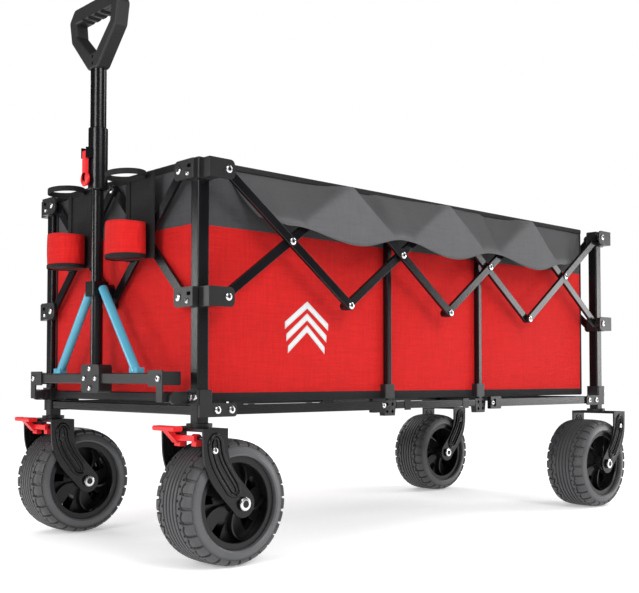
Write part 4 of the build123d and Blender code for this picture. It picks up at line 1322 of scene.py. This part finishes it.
# %% bright bolt caps
def cap_mesh(radius):
    """One domed cap with a socket, made along Z, for a bolt head of one radius."""
    bm = bmesh.new()
    bmesh.ops.create_circle(bm, cap_ends=True, segments=24, radius=radius + 0.0003)
    bm.faces.ensure_lookup_table()
    face = bm.faces[0]
    steps = [(0.0, 0.0016), (0.0007, 0.0006), (0.0010, 0.0003), (radius * 0.30, 0.0002)]
    for inset, rise in steps:
        if inset:
            bmesh.ops.inset_region(bm, faces=[face], thickness=inset, use_even_offset=True)
            bmesh.ops.translate(bm, verts=list(face.verts), vec=(0, 0, rise))
        else:
            top = bmesh.ops.extrude_discrete_faces(bm, faces=[face])["faces"][0]
            bmesh.ops.translate(bm, verts=list(top.verts), vec=(0, 0, rise))
            face = top
    pit = bmesh.ops.extrude_discrete_faces(bm, faces=[face])["faces"][0]
    bmesh.ops.translate(bm, verts=list(pit.verts), vec=(0, 0, -min(0.0016, radius * 0.3)))
    bmesh.ops.remove_doubles(bm, verts=bm.verts, dist=1e-6)
    bmesh.ops.holes_fill(bm, edges=[edge for edge in bm.edges if edge.is_boundary], sides=24)
    bmesh.ops.recalc_face_normals(bm, faces=bm.faces)
    mesh = bpy.data.meshes.new("cap_pattern")
    bm.to_mesh(mesh)
    bm.free()
    return mesh


cap_patterns = {}


def add_cap(bm, centre, axis, sign, radius):
    """Copies the cap of this radius onto a bolt head."""
    size = round(radius, 4)
    if size not in cap_patterns:
        cap_patterns[size] = cap_mesh(size)
    before = len(bm.verts)
    bm.from_mesh(cap_patterns[size])
    bm.verts.ensure_lookup_table()
    direction = Vector([sign if k == axis else 0 for k in range(3)])
    turn = direction.to_track_quat("Z", "Y").to_matrix().to_4x4()
    sink = direction * 0.0022
    move = Matrix.Translation(centre - sink) @ turn
    bmesh.ops.transform(bm, matrix=move, verts=bm.verts[before:])


caps = 0
for body, names in frame["record"]["behaviour"]["bodies"].items():
    bm = bmesh.new()
    for node in names:
        if node in ("tub", "cup_holders", "handle_grip") or "tyre" in node or "rim" in node:
            continue
        for part in loose_parts(node):
            for axis in (0, 1):
                for centre, sign, radius in head_ends(part, axis):
                    add_cap(bm, centre, axis, sign, radius)
                    caps += 1
    if bm.faces:
        piece = make_piece(f"{body}_bolt_caps", bm, zinc_finish)
        piece.data.set_sharp_from_angle(angle=math.radians(40))
        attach(piece, body)
    else:
        bm.free()
for pattern in cap_patterns.values():
    bpy.data.meshes.remove(pattern)
print("bolt caps", caps)

# %% [markdown]
# Last, every CAD node that still shows gets its finish. The nodes keep their own meshes, and only
# the material in their slots changes. The list goes from a word in the node's name to a finish.

# %% finishes for the frame
FINISH_OF = [("brace", ice_blue), ("lever", signal_red), ("pedal", signal_red), ("rim", rim_black),
             ("grip", grip_black), ("bracket", bracket_black), ("slider", bracket_black),
             ("feet", bracket_black), ("fork", fork_black), ("yoke", bracket_black)]
for name, node in nodes.items():
    finish = next((made for word, made in FINISH_OF if word in name), frame_black)
    if not node.data.materials:
        node.data.materials.append(finish)
    for index in range(len(node.data.materials)):
        node.data.materials[index] = finish
print("finished", len(nodes), "nodes")

# %% [markdown]
# A plain pale floor takes the soft shadows. It is part of the stage, not of the cart. It shines a
# little of its own light and mirrors nothing, so its far edge melts into the white backdrop.

# %% floor
FLOOR_REACH = 14
floor_paint = Finish("floor_paint")
floor_patches = floor_paint.speckle(0.6)
floor_paint.done(Base_Color=floor_paint.mix(floor_patches, tone(0.86, 0.86, 0.87),
                                            tone(0.90, 0.90, 0.905)), Roughness=0.62,
                 Specular_IOR_Level=0.0, Emission_Color=tone(1, 1, 1), Emission_Strength=0.32)
bm = bmesh.new()
bmesh.ops.create_grid(bm, x_segments=1, y_segments=1, size=FLOOR_REACH)
floor_mesh = bpy.data.meshes.new("floor")
bm.to_mesh(floor_mesh)
bm.free()
floor_mesh.materials.append(floor_paint.material)
floor = bpy.data.objects.new("floor", floor_mesh)
bpy.context.scene.collection.objects.link(floor)
floor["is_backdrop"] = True

# %% [markdown]
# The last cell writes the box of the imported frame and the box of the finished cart, to compare
# them. Cloth and bolts may stand a little outside the frame, but not by much.

# %% sizes
visual_box = [list(corner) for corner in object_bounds()]
for name, corners in (("cad", cad_box), ("visual", visual_box)):
    print(name, [[round(part, 4) for part in corner] for corner in corners])
